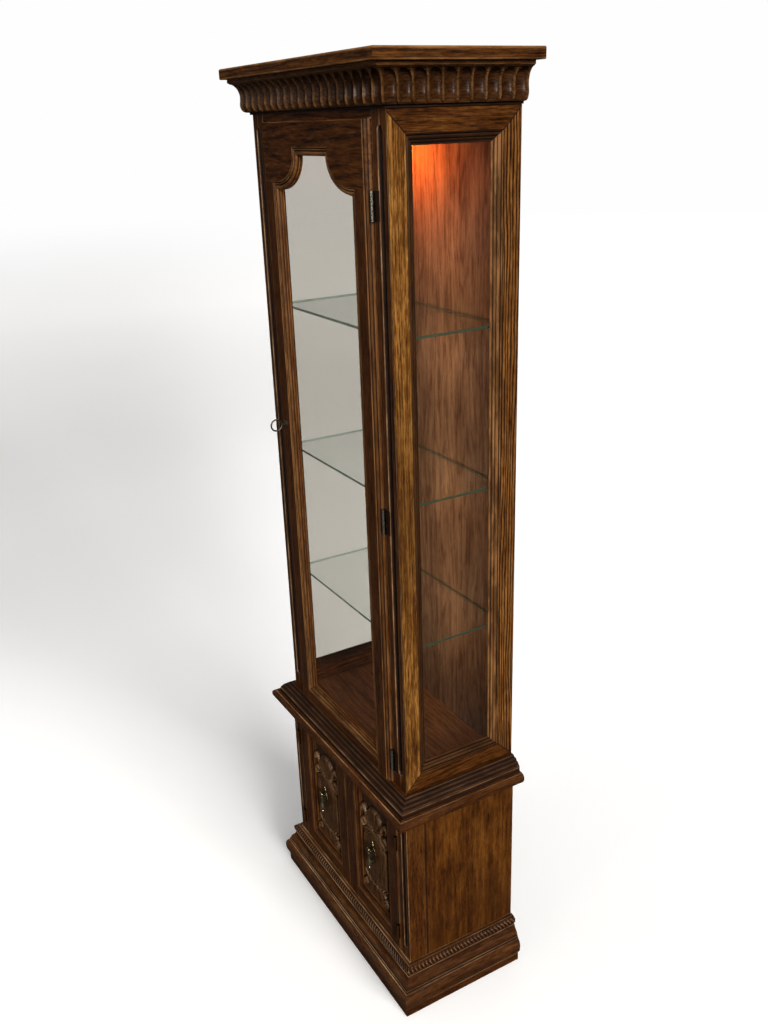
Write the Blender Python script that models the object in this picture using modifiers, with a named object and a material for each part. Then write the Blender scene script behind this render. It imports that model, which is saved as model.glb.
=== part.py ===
"""Tower display case: a lit glazed upper case over a two-door base, all loose pieces separate.

Metres, +Z up, the front faces -Y, right is +X, and the origin is on the floor under the
middle of the plan.
"""
import math
import bpy
import bmesh
from mathutils import Matrix, Vector

for old in list(bpy.data.objects):
    bpy.data.objects.remove(old, do_unlink=True)

# ---- shared sizes ----------------------------------------------------------------
HEIGHT = 1.960            # floor to the top of the top board
GAP = 0.0003              # working gap between neighbouring pieces
MITRE_GAP = 0.0002        # clearance in the corner mitres of stiles and sides
MOULD_MITRE_GAP = 0.00025
PANE_GAP = 0.0005         # pane or panel edge to its rebate
OVER = 0.01               # unit by which cutters run past the wood
SIDES = ((1.0, "right"), (-1.0, "left"))

SIDE_T = 0.018            # thickness of the sides
SIDE_BACK = 0.151         # back edge of the sides
FACE_T = 0.020            # thickness of the face frames
REBATE = 0.006            # rebate width beyond the sight line
BACK_Y = (0.1345, 0.1405)  # back panels

# ---- upper case ------------------------------------------------------------------
CASE_HALF = 0.264         # half width over the sides
CASE_FRONT = -0.118
TOP_T = 0.020
TOP_OVER = 0.044          # top board overhang at the sides
TOP_FRONT_OVER = TOP_OVER + 0.003
TOP_BACK = 0.165
CASE_Z1 = HEIGHT - TOP_T - GAP
WAIST_Z1 = 0.560          # top of the waist moulding
CASE_Z0 = WAIST_Z1 + GAP
CASE_IN = CASE_HALF - SIDE_T - GAP    # clear half width inside
STILE_W = 0.048
CEIL_Z = (1.8995, 1.9115)

# ---- glazed door -----------------------------------------------------------------
DOOR_HALF = 0.213
DOOR_Z0, DOOR_Z1 = 0.5625, 1.8590
DOOR_FRONT = CASE_FRONT - 0.010
DOOR_T = 0.022
DOOR_FLAT_X, DOOR_FLAT_Z = 0.047, 0.029    # outer edge to the inner moulding
DOOR_MOULD = 0.014
SIGHT_HALF = DOOR_HALF - DOOR_FLAT_X - DOOR_MOULD
SIGHT_Z0 = DOOR_Z0 + DOOR_FLAT_Z + DOOR_MOULD
RAIL_Z0 = DOOR_Z1 + 0.0015                 # underside of the face rail
KEY_AT = (-0.188, DOOR_FRONT, 1.250)

# ---- base case -------------------------------------------------------------------
BASE_STEP = 0.008         # base beyond the upper case, front and sides
BASE_HALF = CASE_HALF + BASE_STEP
BASE_FRONT = CASE_FRONT - BASE_STEP
BASE_STILE_W = 0.036
BASE_Z1 = 0.540
BASE_IN = BASE_HALF - SIDE_T - GAP
PLINTH_H = 0.118

# ---- base doors ------------------------------------------------------------------
BASE_DOOR_Z0, BASE_DOOR_Z1 = 0.121, 0.492
BASE_DOOR_X0 = 0.0015                      # meeting edge
BASE_DOOR_X1 = BASE_HALF - BASE_STILE_W - 0.002
BASE_DOOR_FRONT = BASE_FRONT - 0.002
BASE_DOOR_T = 0.020
BASE_MOULD = 0.016
BASE_FLAT_X, BASE_FLAT_Z = 0.038, 0.033    # outer edge to the moulding
PANEL_X = (BASE_DOOR_X0 + BASE_FLAT_X + BASE_MOULD, BASE_DOOR_X1 - BASE_FLAT_X - BASE_MOULD)
PANEL_Z = (BASE_DOOR_Z0 + BASE_FLAT_Z + BASE_MOULD, BASE_DOOR_Z1 - BASE_FLAT_Z - BASE_MOULD)
PANEL_MID = (PANEL_X[0] + PANEL_X[1]) / 2
SHIELD_FRONT = BASE_DOOR_FRONT + 0.0032

# ---- lamp and cord ---------------------------------------------------------------
LAMP_X, LAMP_Y = -0.050, 0.040
CORD_R = 0.0022
CORD_BORE_R = 0.004
CORD_TOP_Z = 1.9255       # cord height where it passes the back panel

# ---- hinges ----------------------------------------------------------------------
HINGE_X, HINGE_Y, HINGE_R, HINGE_H = 0.2185, -0.1225, 0.0040, 0.050
HINGE_Z = {"upper": 1.723, "middle": 1.155, "lower": 0.620}
BASE_HINGE_X, BASE_HINGE_Y, BASE_HINGE_R, BASE_HINGE_H = 0.2350, -0.1326, 0.0034, 0.038
BASE_HINGE_Z = {"upper": 0.420, "lower": 0.178}
PIN_R, BORE_R = 0.0012, 0.0016
PIN_INSET = 0.002         # pin end inside the barrel end
KNUCKLE_GAP = 0.0002      # half the gap between knuckles
LEAF_TRIM = 0.0004        # leaf end inside its knuckle end


PARTS = bpy.data.collections.new("tower_display_case")
TOOLS = bpy.data.collections.new("cutters")
bpy.context.scene.collection.children.link(PARTS)
bpy.context.scene.collection.children.link(TOOLS)


# =========================== materials ===================================
def material(name, colour, roughness, metallic=0.0, alpha=1.0):
    mat = bpy.data.materials.new(name)
    mat.use_nodes = True
    shader = mat.node_tree.nodes["Principled BSDF"]
    shader.inputs["Base Color"].default_value = (*colour, 1.0)
    shader.inputs["Roughness"].default_value = roughness
    shader.inputs["Metallic"].default_value = metallic
    shader.inputs["Alpha"].default_value = alpha
    mat.diffuse_color = (*colour, alpha)
    return mat


WOOD = material("wood_stained", colour=(0.085, 0.035, 0.013), roughness=0.42)
WOOD_MID = material("wood_panel", colour=(0.150, 0.065, 0.022), roughness=0.45)
GLASS = material("clear_glass", colour=(0.80, 0.88, 0.86), roughness=0.04, alpha=0.30)
BRASS = material("antique_brass", colour=(0.30, 0.23, 0.12), roughness=0.38, metallic=1.0)
STEEL = material("dark_steel", colour=(0.16, 0.14, 0.12), roughness=0.40, metallic=1.0)
PLASTIC = material("lamp_plastic", colour=(0.75, 0.72, 0.65), roughness=0.45)
BULB = material("lamp_glass", colour=(1.00, 0.80, 0.55), roughness=0.15)
RUBBER = material("cord_rubber", colour=(0.03, 0.03, 0.03), roughness=0.60)


# =========================== helpers ===================================
def register(name, mesh, mat, smooth=False):
    mesh.name = name
    ob = bpy.data.objects.new(name, mesh)
    PARTS.objects.link(ob)
    mesh.materials.clear()
    mesh.materials.append(mat)
    for face in mesh.polygons:
        face.use_smooth = smooth
    return ob


def set_origin(ob, point):
    """Move the origin of a piece, which still sits at the world origin, to its pivot."""
    ob.data.transform(Matrix.Translation(-Vector(point)))
    ob.location = point


def span(side, a, b):
    """Ordered pair of x values, mirrored for the left side."""
    return sorted((side * a, side * b))


def mirrored(side, points):
    return [(side * x, y) for x, y in points]


def tidy(mesh):
    bm = bmesh.new()
    bm.from_mesh(mesh)
    bmesh.ops.remove_doubles(bm, verts=bm.verts, dist=0.000001)
    bmesh.ops.recalc_face_normals(bm, faces=bm.faces)
    bm.to_mesh(mesh)
    bm.free()
    return mesh


def evaluated_mesh(ob):
    """Mesh of a temporary object with its modifiers or curve bevel; the object is removed."""
    bpy.context.scene.collection.objects.link(ob)
    bpy.context.view_layer.update()
    depsgraph = bpy.context.evaluated_depsgraph_get()
    mesh = bpy.data.meshes.new_from_object(ob.evaluated_get(depsgraph))
    bpy.data.objects.remove(ob, do_unlink=True)
    return mesh


def add_polyline(curve, points):
    spline = curve.splines.new("POLY")
    spline.points.add(len(points) - 1)
    for target, co in zip(spline.points, points):
        target.co = (*co, 1.0)
    return spline


def box_mesh(xs, ys, zs):
    bm = bmesh.new()
    bmesh.ops.create_cube(bm, size=1.0)
    for v in bm.verts:
        v.co = Vector([lo + (c + 0.5) * (hi - lo) for c, (lo, hi) in zip(v.co, (xs, ys, zs))])
    mesh = bpy.data.meshes.new("box")
    bm.to_mesh(mesh)
    bm.free()
    return mesh


def box(name, xs, ys, zs, mat, bevel=0.0):
    ob = register(name, box_mesh(xs, ys, zs), mat)
    if bevel:
        edges = ob.modifiers.new("edges", "BEVEL")
        edges.width = bevel
        edges.segments = 2
        edges.limit_method = "ANGLE"
    return ob


def fill(outline, half):
    """Flat outline, filled and thickened to +-half along its local z."""
    curve = bpy.data.curves.new("outline", "CURVE")
    curve.dimensions = "2D"
    curve.fill_mode = "BOTH"
    curve.extrude = half
    add_polyline(curve, [(u, v, 0.0) for u, v in outline]).use_cyclic_u = True
    return evaluated_mesh(bpy.data.objects.new("outline", curve))


AXES = {
    "X": Matrix(((0, 0, 1, 0), (1, 0, 0, 0), (0, 1, 0, 0), (0, 0, 0, 1))),
    "Y": Matrix(((1, 0, 0, 0), (0, 0, -1, 0), (0, 1, 0, 0), (0, 0, 0, 1))),
    "Z": Matrix.Identity(4),
}


def prism_mesh(outline, lo, hi, axis):
    """Outline in (y, z), (x, z) or (x, y) for axis X, Y or Z, running from lo to hi."""
    mesh = fill(outline, (hi - lo) / 2.0)
    mesh.transform(AXES[axis])
    mid = (lo + hi) / 2.0
    shift = {"X": (mid, 0, 0), "Y": (0, mid, 0), "Z": (0, 0, mid)}[axis]
    mesh.transform(Matrix.Translation(shift))
    return tidy(mesh)


def turned_mesh(profile, centre, axis="Z", steps=24):
    """Profile of (radius, height), turned; height runs along +Z, -Y or +X for axis Z, Y or X."""
    mesh = bpy.data.meshes.new("profile")
    edges = [(i, i + 1) for i in range(len(profile) - 1)]
    mesh.from_pydata([(r, 0.0, h) for r, h in profile], edges, [])
    ob = bpy.data.objects.new("profile", mesh)
    turn = ob.modifiers.new("turn", "SCREW")
    turn.axis = "Z"
    turn.angle = math.tau
    turn.steps = steps
    turn.render_steps = steps
    turn.use_merge_vertices = True
    turn.merge_threshold = 0.00001
    out = evaluated_mesh(ob)
    if axis == "Y":
        out.transform(Matrix.Rotation(math.radians(90), 4, "X"))
    elif axis == "X":
        out.transform(Matrix.Rotation(math.radians(90), 4, "Y"))
    out.transform(Matrix.Translation(centre))
    return tidy(out)


def rod_mesh(radius, low, high, centre, axis="Z", steps=16):
    """Plain rod; low and high are heights from the centre along the axis of turned_mesh."""
    profile = [(0.0, high), (radius, high), (radius, low), (0.0, low)]
    return turned_mesh(profile, centre, axis, steps)


def combine(ob, mesh, kind):
    """Boolean with a hidden helper object made from the mesh."""
    count = len(ob.modifiers)
    helper = bpy.data.objects.new(f"{ob.name}_{kind[:3].lower()}{count}", mesh)
    TOOLS.objects.link(helper)
    helper.hide_render = True
    helper.display_type = "WIRE"
    boolean = ob.modifiers.new(f"b{count}", "BOOLEAN")
    boolean.operation = kind
    boolean.solver = "EXACT"
    boolean.object = helper


def cut(ob, mesh):
    combine(ob, mesh, "DIFFERENCE")


def fuse(ob, mesh):
    combine(ob, mesh, "UNION")


# =========================== mouldings ===================================
def moulding(stem, profile, half, face, mat):
    """Wrap (projection, z) round a case's front and sides, mitred in front, square behind."""
    mesh = fill(profile, 1.0)
    for v in mesh.vertices:
        out, z, end = v.co
        v.co = Vector((math.copysign(half + out - MOULD_MITRE_GAP, end), face - out, z))
    register(stem + "_front", tidy(mesh), mat)
    for side, hand in SIDES:
        mesh = fill(profile, 1.0)
        for v in mesh.vertices:
            out, z, end = v.co
            y = SIDE_BACK if end > 0 else face - out + MOULD_MITRE_GAP
            v.co = Vector((side * (half + out), y, z))
        register(stem + "_" + hand, tidy(mesh), mat)


# Profiles: (projection from the case, z)
CROWN = [
    (GAP, 1.8735), (0.0045, 1.8735), (0.0045, 1.8840), (0.0130, 1.8840), (0.0168, 1.8870),
    (0.0176, 1.8925), (0.0160, 1.8990), (0.0150, 1.9060), (0.0165, 1.9150), (0.0205, 1.9240),
    (0.0270, 1.9310), (0.0350, 1.9345), (0.0350, CASE_Z1), (GAP, CASE_Z1)]
WAIST = [
    (GAP, WAIST_Z1), (0.0060, WAIST_Z1), (0.0085, 0.5578), (0.0100, 0.5560), (0.0150, 0.5545),
    (0.0172, 0.5520), (0.0185, 0.5505), (0.0235, 0.5490), (0.0262, 0.5460), (0.0285, 0.5430),
    (0.0300, 0.5400), (0.0300, 0.5335), (0.0315, 0.5315), (0.0410, 0.5305), (0.0455, 0.5275),
    (0.0470, 0.5225), (0.0465, 0.5165), (0.0435, 0.5110), (0.0380, 0.5065), (0.0300, 0.5040),
    (0.0200, 0.5010), (0.0140, 0.4970), (0.0110, 0.4950), (BASE_STEP + GAP, 0.4950),
    (BASE_STEP + GAP, BASE_Z1), (GAP, BASE_Z1)]
PLINTH = [
    (GAP, 0.0), (0.0300, 0.0), (0.0300, 0.0230), (0.0332, 0.0265), (0.0360, 0.0350),
    (0.0374, 0.0450), (0.0366, 0.0545), (0.0335, 0.0620), (0.0285, 0.0665), (0.0285, 0.0700),
    (0.0235, 0.0775), (0.0185, 0.0860), (0.0155, 0.0950), (0.0155, 0.1010), (0.0175, 0.1040),
    (0.0187, 0.1090), (0.0175, 0.1140), (0.0145, 0.1170), (0.0090, PLINTH_H), (GAP, PLINTH_H)]


# =========================== stiles and sides ===================================
FLUTE_SINK = 0.0008       # flute axis in front of the face


def flute_mesh(x, y, z0, z1, radius):
    """Stopped flute cutter: a rod with domed ends."""
    rings = 4
    turns = [i / rings * math.pi / 2 for i in range(rings + 1)]
    top = [(radius * math.sin(t), z1 + radius * math.cos(t)) for t in turns]
    bottom = [(radius * math.cos(t), z0 - radius * math.sin(t)) for t in turns[:-1]]
    return turned_mesh(top + bottom + [(0.0, z0 - radius)], (x, y, 0.0), "Z", 12)


def corner_stile(name, side, half, face, width, zs, flute_inset, flute_r, flute_zs):
    """Face stile, mitred to the side at its outer edge, with one flute down its front."""
    edge = half - MITRE_GAP
    outline = [(half - width, face), (edge, face), (edge - SIDE_T, face + SIDE_T),
               (edge - SIDE_T, face + FACE_T), (half - width, face + FACE_T)]
    ob = register(name, prism_mesh(mirrored(side, outline), *zs, "Z"), WOOD)
    cut(ob, flute_mesh(side * (half - flute_inset), face - FLUTE_SINK, *flute_zs, flute_r))


def side_board(name, side, half, face, zs, mat):
    """Side of a case, mitred at its front corner."""
    front = face + MITRE_GAP
    outline = [(half, front), (half, SIDE_BACK), (half - SIDE_T, SIDE_BACK),
               (half - SIDE_T, front + SIDE_T)]
    return register(name, prism_mesh(mirrored(side, outline), *zs, "Z"), mat)


# =========================== upper case ===================================
SIDE_FLAT_FRONT, SIDE_FLAT_BACK = 0.036, 0.038    # flat margins round the moulding
SIDE_MOULD_Z = (0.5980, 1.8335)                   # outer line of the moulding
SIDE_MOULD = 0.018
SIDE_STEPS = ((0.005, 0.0), (0.008, 0.008))       # (depth, inset) of the moulding steps
SIDE_REBATE_DEPTH = 0.013                         # outer face to the rebate
GLASS_T = 0.003
SHELF_T = 0.006
SHELF_TOPS = {"upper": 1.500, "middle": 1.185, "lower": 0.883}
SHELF_HALF = 0.244
SHELF_Y = (-0.093, 0.132)
REST_R = 0.0025
REST_OUT, REST_IN = 0.008, 0.002                  # rest length clear of and inside the side
REST_OFFSET = 0.0075                              # rest centre beyond the rebate
REST_DROP = 0.0029                                # rest centre below the shelf


def side_opening(inset):
    """(y pair, z pair) of the side opening, inset from the moulding's outer line."""
    return ((CASE_FRONT + SIDE_FLAT_FRONT + inset, SIDE_BACK - SIDE_FLAT_BACK - inset),
            (SIDE_MOULD_Z[0] + inset, SIDE_MOULD_Z[1] - inset))


def side_cutter(side, x0, x1, inset):
    (y0, y1), (z0, z1) = side_opening(inset)
    return prism_mesh([(y0, z0), (y1, z0), (y1, z1), (y0, z1)], *span(side, x0, x1), "X")


def side_frame(side, hand):
    """Glazed side: stepped moulding, opening, glass rebate inside and shelf rests."""
    ob = side_board("side_frame_" + hand, side, CASE_HALF, CASE_FRONT, (CASE_Z0, CASE_Z1), WOOD)
    for depth, inset in SIDE_STEPS:
        cut(ob, side_cutter(side, CASE_HALF - depth, CASE_HALF + OVER, inset))
    inner = CASE_HALF - 3 * OVER
    rebate = SIDE_MOULD - REBATE
    cut(ob, side_cutter(side, inner, CASE_HALF + 2 * OVER, SIDE_MOULD))
    cut(ob, side_cutter(side, inner, CASE_HALF - SIDE_REBATE_DEPTH, rebate))
    y0, y1 = side_opening(rebate)[0]
    for top in SHELF_TOPS.values():
        for y in (y0 - REST_OFFSET, y1 + REST_OFFSET):
            rest = rod_mesh(REST_R, -REST_IN, REST_OUT, (0.0, 0.0, 0.0), "X", 12)
            if side > 0:
                rest.transform(Matrix.Rotation(math.pi, 4, "Z"))
            place = (side * (CASE_HALF - SIDE_T), y, top - SHELF_T - REST_DROP)
            rest.transform(Matrix.Translation(place))
            fuse(ob, rest)
    outer = CASE_HALF - SIDE_REBATE_DEPTH - GAP
    box("side_glass_" + hand, span(side, outer, outer - GLASS_T),
        *side_opening(rebate + PANE_GAP), GLASS)


def upper_case():
    box("top_board", (-CASE_HALF - TOP_OVER, CASE_HALF + TOP_OVER),
        (CASE_FRONT - TOP_FRONT_OVER, TOP_BACK), (HEIGHT - TOP_T, HEIGHT), WOOD, 0.004)
    moulding("crown", CROWN, CASE_HALF, CASE_FRONT, WOOD)
    for side, hand in SIDES:
        corner_stile("face_stile_" + hand, side, CASE_HALF, CASE_FRONT, STILE_W,
                     (CASE_Z0, CASE_Z1), flute_inset=0.0225, flute_r=0.0050,
                     flute_zs=(0.6000, 1.8430))
    rail_half = CASE_HALF - STILE_W - GAP
    box("face_rail", (-rail_half, rail_half), (CASE_FRONT, CASE_FRONT + FACE_T),
        (RAIL_Z0, CASE_Z1), WOOD)
    for side, hand in SIDES:
        side_frame(side, hand)

    inside = (-CASE_IN, CASE_IN)
    ceiling = box("case_top", inside, (CASE_FRONT + FACE_T + GAP, BACK_Y[0] - GAP), CEIL_Z,
                  WOOD_MID)
    cut(ceiling, rod_mesh(CORD_BORE_R, CEIL_Z[0] - OVER, CEIL_Z[1] + OVER, (LAMP_X, LAMP_Y, 0.0)))
    box("case_deck", inside, (CASE_FRONT + GAP, BACK_Y[0] - GAP), (BASE_Z1 + GAP, CASE_Z0 - GAP),
        WOOD_MID)
    back = box("back_panel_upper", inside, BACK_Y, (BASE_Z1 + GAP, CASE_Z1), WOOD_MID)
    cut(back, rod_mesh(CORD_BORE_R, -2 * OVER, 2 * OVER, (LAMP_X, BACK_Y[0], CORD_TOP_Z), "Y"))
    for tag, top in SHELF_TOPS.items():
        box("shelf_" + tag, (-SHELF_HALF, SHELF_HALF), SHELF_Y, (top - SHELF_T, top), GLASS, 0.0006)


# =========================== glazed door ===================================
HEAD_Z = 1.799            # top of the opening
SHOULDER_Z = 1.735        # foot of the quarter ellipses in its upper corners
SHOULDER_W = 0.095        # their width
DOOR_STEPS = ((DOOR_MOULD, 0.004), (DOOR_MOULD - 0.007, 0.008))   # (growth, depth)
DOOR_REBATE_DEPTH = 0.016                                         # front face to the rebate
KEYHOLE_R = 0.0032
# Outer edge moulding: (x back from the door edge, y behind the door front)
DOOR_EDGE = [(0.0130, -OVER), (0.0130, 0.0), (0.0110, 0.0022), (0.0060, 0.0040),
             (0.0030, 0.0062), (-OVER, 0.0062), (-OVER, -OVER)]


def arched(grow):
    """Opening outline (x, z), grown outwards, with quarter ellipses filling its top corners."""
    half = SIGHT_HALF + grow
    width = SHOULDER_W - grow
    rise = HEAD_Z - SHOULDER_Z - grow
    right = [(half, SIGHT_Z0 - grow), (half, HEAD_Z - rise)]
    if grow:
        right.append((SIGHT_HALF, HEAD_Z - rise))
    steps = 8
    for i in range(1, steps + 1):
        t = i / steps * math.pi / 2
        right.append((SIGHT_HALF - width * math.sin(t), HEAD_Z - rise * math.cos(t)))
    if grow:
        right.append((SIGHT_HALF - width, HEAD_Z + grow))
    return right + [(-x, z) for x, z in reversed(right)]


def glazed_door():
    ob = box("glass_door_frame", (-DOOR_HALF, DOOR_HALF), (DOOR_FRONT, DOOR_FRONT + DOOR_T),
             (DOOR_Z0, DOOR_Z1), WOOD)
    edge = [(DOOR_HALF - x, DOOR_FRONT + y) for x, y in DOOR_EDGE]
    for side, _ in SIDES:
        cut(ob, prism_mesh(mirrored(side, edge), DOOR_Z0 - OVER, DOOR_Z1 + OVER, "Z"))
    for grow, depth in DOOR_STEPS:
        cut(ob, prism_mesh(arched(grow), DOOR_FRONT - OVER, DOOR_FRONT + depth, "Y"))
    cut(ob, prism_mesh(arched(0.0), DOOR_FRONT - 2 * OVER, DOOR_FRONT + DOOR_T + 2 * OVER, "Y"))
    half = SIGHT_HALF + REBATE
    z0, z1 = SIGHT_Z0 - REBATE, HEAD_Z + REBATE
    seat = DOOR_FRONT + DOOR_REBATE_DEPTH
    cut(ob, box_mesh((-half, half), (seat, DOOR_FRONT + DOOR_T + OVER), (z0, z1)))
    cut(ob, rod_mesh(KEYHOLE_R, -0.011, 0.03, KEY_AT, "Y"))
    set_origin(ob, (HINGE_X, HINGE_Y, HINGE_Z["middle"]))
    box("glass_door_pane", (-half + PANE_GAP, half - PANE_GAP),
        (seat + GAP, seat + GAP + GLASS_T), (z0 + PANE_GAP, z1 - PANE_GAP), GLASS)


# =========================== key and escutcheon ===================================
# Profiles: (radius, height in front of the door face)
ESCUTCHEON = [(0.0036, 0.0026), (0.0060, 0.0026), (0.0085, 0.0012), (0.0085, GAP),
              (0.0036, GAP), (0.0036, 0.0026)]
KEY_SHANK = [(0.0, 0.0105), (0.0022, 0.0105), (0.0022, 0.0078), (0.0042, 0.0068),
             (0.0042, 0.0046), (0.0022, 0.0034), (0.0022, -0.0095), (0.0, -0.0095)]
BOW_R, BOW_WIRE_R = 0.0125, 0.0019
BOW_OUT = 0.0222          # bow centre in front of the door face


def key_bow_mesh():
    """Upright ring in the YZ plane at the front end of the key."""
    bow = bmesh.new()
    bmesh.ops.create_circle(bow, segments=8, radius=BOW_WIRE_R)
    bmesh.ops.rotate(bow, verts=bow.verts, matrix=Matrix.Rotation(math.radians(90), 3, "X"),
                     cent=(0, 0, 0))
    bmesh.ops.translate(bow, verts=bow.verts, vec=(BOW_R, 0, 0))
    bmesh.ops.spin(bow, geom=list(bow.edges), cent=(0, 0, 0), axis=(0, 0, 1), dvec=(0, 0, 0),
                   angle=math.tau, steps=20, use_merge=True)
    mesh = bpy.data.meshes.new("bow")
    bow.to_mesh(mesh)
    bow.free()
    mesh.transform(Matrix.Rotation(math.radians(90), 4, "Y"))
    mesh.transform(Matrix.Translation((KEY_AT[0], KEY_AT[1] - BOW_OUT, KEY_AT[2])))
    return tidy(mesh)


def door_key():
    register("key_escutcheon", turned_mesh(ESCUTCHEON, KEY_AT, "Y", 20), BRASS, True)
    key = register("door_key", turned_mesh(KEY_SHANK, KEY_AT, "Y", 16), BRASS, True)
    fuse(key, key_bow_mesh())
    set_origin(key, KEY_AT)


# =========================== hinges ===================================
class Barrel:
    """Upright barrel of three knuckles: the outer two on the case leaf, the middle on the door's."""

    def __init__(self, x, y, radius, mid, height):
        self.x, self.y, self.radius = x, y, radius
        self.low, self.high = mid - height / 2, mid + height / 2
        self.mid_low, self.mid_high = mid - height / 6, mid + height / 6
        self.leaf_z = (self.low + LEAF_TRIM, self.high - LEAF_TRIM)
        clear = KNUCKLE_GAP + LEAF_TRIM
        self.notch_z = (self.mid_low - clear, self.mid_high + clear)
        self.tab_z = (self.mid_low + clear, self.mid_high - clear)

    def add_to_case(self, leaf):
        at = (self.x, self.y, 0.0)
        fuse(leaf, rod_mesh(self.radius, self.mid_high + KNUCKLE_GAP, self.high, at))
        fuse(leaf, rod_mesh(self.radius, self.low, self.mid_low - KNUCKLE_GAP, at))
        fuse(leaf, rod_mesh(PIN_R, self.low + PIN_INSET, self.high - PIN_INSET, at, steps=12))

    def add_to_door(self, leaf):
        top, bottom = self.mid_high - KNUCKLE_GAP, self.mid_low + KNUCKLE_GAP
        ring = [(BORE_R, top), (self.radius, top), (self.radius, bottom), (BORE_R, bottom),
                (BORE_R, top)]
        fuse(leaf, turned_mesh(ring, (self.x, self.y, 0.0), "Z", 16))


def leaf_outline(near, far, middle, leaf_z, middle_z):
    """Leaf from near to far whose near edge steps to middle over middle_z."""
    (z0, z1), (m0, m1) = leaf_z, middle_z
    return [(near, z0), (far, z0), (far, z1), (near, z1),
            (near, m1), (middle, m1), (middle, m0), (near, m0)]


def base_hinge(stem, side, mid):
    """Hinge with both leaves in the gap between the base stile and the door edge."""
    y, leaf_t = BASE_HINGE_Y, 0.0005
    barrel = Barrel(side * BASE_HINGE_X, y, BASE_HINGE_R, mid, BASE_HINGE_H)
    clear_y = y + BASE_HINGE_R + 0.0006    # leaf edge clear of the other half's knuckles
    end_y = BASE_FRONT + 0.014

    edge = BASE_HALF - BASE_STILE_W - GAP
    outline = leaf_outline(y + 0.0021, end_y, clear_y, barrel.leaf_z, barrel.notch_z)
    mesh = prism_mesh(outline, *span(side, edge, edge - leaf_t), "X")
    barrel.add_to_case(register(stem + "_case", mesh, STEEL))

    edge = BASE_DOOR_X1 + GAP
    outline = leaf_outline(clear_y, end_y, y + 0.0024, barrel.leaf_z, barrel.tab_z)
    mesh = prism_mesh(outline, *span(side, edge, edge + leaf_t), "X")
    barrel.add_to_door(register(stem + "_door", mesh, STEEL))


def face_hinge(stem, mid):
    """Hinge with its case leaf on the face of the stile and its door leaf on the door's edge."""
    x, y = HINGE_X, HINGE_Y
    barrel = Barrel(x, y, HINGE_R, mid, HINGE_H)
    outline = leaf_outline(x, x + 0.0165, x + HINGE_R + 0.0004, barrel.leaf_z, barrel.notch_z)
    mesh = prism_mesh(outline, CASE_FRONT - 0.0014, CASE_FRONT - GAP, "Y")
    barrel.add_to_case(register(stem + "_case", mesh, STEEL))

    ob = box(stem + "_door", (DOOR_HALF + GAP, x - HINGE_R - 0.0003),
             (DOOR_FRONT + 0.0070, DOOR_FRONT + 0.0190), barrel.leaf_z, STEEL)
    # web from the door leaf to its knuckle
    fuse(ob, box_mesh((DOOR_HALF + 0.0006, x - 0.0024), (y - 0.0014, y + 0.0016), barrel.tab_z))
    barrel.add_to_door(ob)


def hinges():
    for tag, z in HINGE_Z.items():
        face_hinge("door_hinge_" + tag, z)
    for side, hand in SIDES:
        for tag, z in BASE_HINGE_Z.items():
            base_hinge(f"base_hinge_{hand}_{tag}", side, z)


# =========================== base case ===================================
GROOVE_Y = 0.046          # upright groove on the base side, back from the front plane
GROOVE_W, GROOVE_DEPTH = 0.003, 0.002
FLOOR_T = 0.018
BASE_BACK_Z0 = 0.030
BASE_RAIL_GAP = 0.0025    # door top to the rail


def base_floor():
    """Floor board whose front edge runs forward between the stiles."""
    nose = BASE_HALF - BASE_STILE_W - 0.0005
    front, step, back = BASE_FRONT + GAP, BASE_FRONT + FACE_T + GAP, BACK_Y[0] - GAP
    outline = [(-nose, front), (nose, front), (nose, step), (BASE_IN, step),
               (BASE_IN, back), (-BASE_IN, back), (-BASE_IN, step), (-nose, step)]
    register("base_floor", prism_mesh(outline, PLINTH_H - FLOOR_T, PLINTH_H, "Z"), WOOD_MID)


def base_case():
    top = BASE_Z1 - GAP
    for side, hand in SIDES:
        corner_stile("base_stile_" + hand, side, BASE_HALF, BASE_FRONT, BASE_STILE_W,
                     (GAP, top), flute_inset=0.0170, flute_r=0.0040, flute_zs=(0.1500, 0.4600))
        ob = side_board("base_side_" + hand, side, BASE_HALF, BASE_FRONT, (0.0, top), WOOD_MID)
        groove = BASE_FRONT + GROOVE_Y
        cut(ob, box_mesh(span(side, BASE_HALF - GROOVE_DEPTH, BASE_HALF + OVER),
                         (groove, groove + GROOVE_W), (-OVER, 0.6)))
    rail_half = BASE_HALF - BASE_STILE_W - GAP
    box("base_rail", (-rail_half, rail_half), (BASE_FRONT, BASE_FRONT + FACE_T),
        (BASE_DOOR_Z1 + BASE_RAIL_GAP, top), WOOD)
    base_floor()
    box("back_panel_lower", (-BASE_IN, BASE_IN), BACK_Y, (BASE_BACK_Z0, top), WOOD_MID)
    moulding("plinth", PLINTH, BASE_HALF, BASE_FRONT, WOOD)


# =========================== base doors ===================================
BASE_STEPS = ((0.0035, BASE_MOULD), (0.0070, BASE_MOULD - 0.008))   # (depth, growth)
BASE_REBATE_DEPTH = 0.014
PANEL_T = 0.0054
SHIELD_BACK = BASE_DOOR_FRONT + 0.016
SHIELD_MARGIN = 0.004     # sight line to shield, top and bottom
CREST_HALF, CREST_RISE = 0.050, 0.024


def base_opening(side, grow):
    """(x pair, z pair) of the door opening, grown outwards from the sight line."""
    return (span(side, PANEL_X[0] - grow, PANEL_X[1] + grow),
            (PANEL_Z[0] - grow, PANEL_Z[1] + grow))


def base_cutter(side, grow, y0, y1):
    xs, zs = base_opening(side, grow)
    return box_mesh(xs, (y0, y1), zs)


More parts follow.
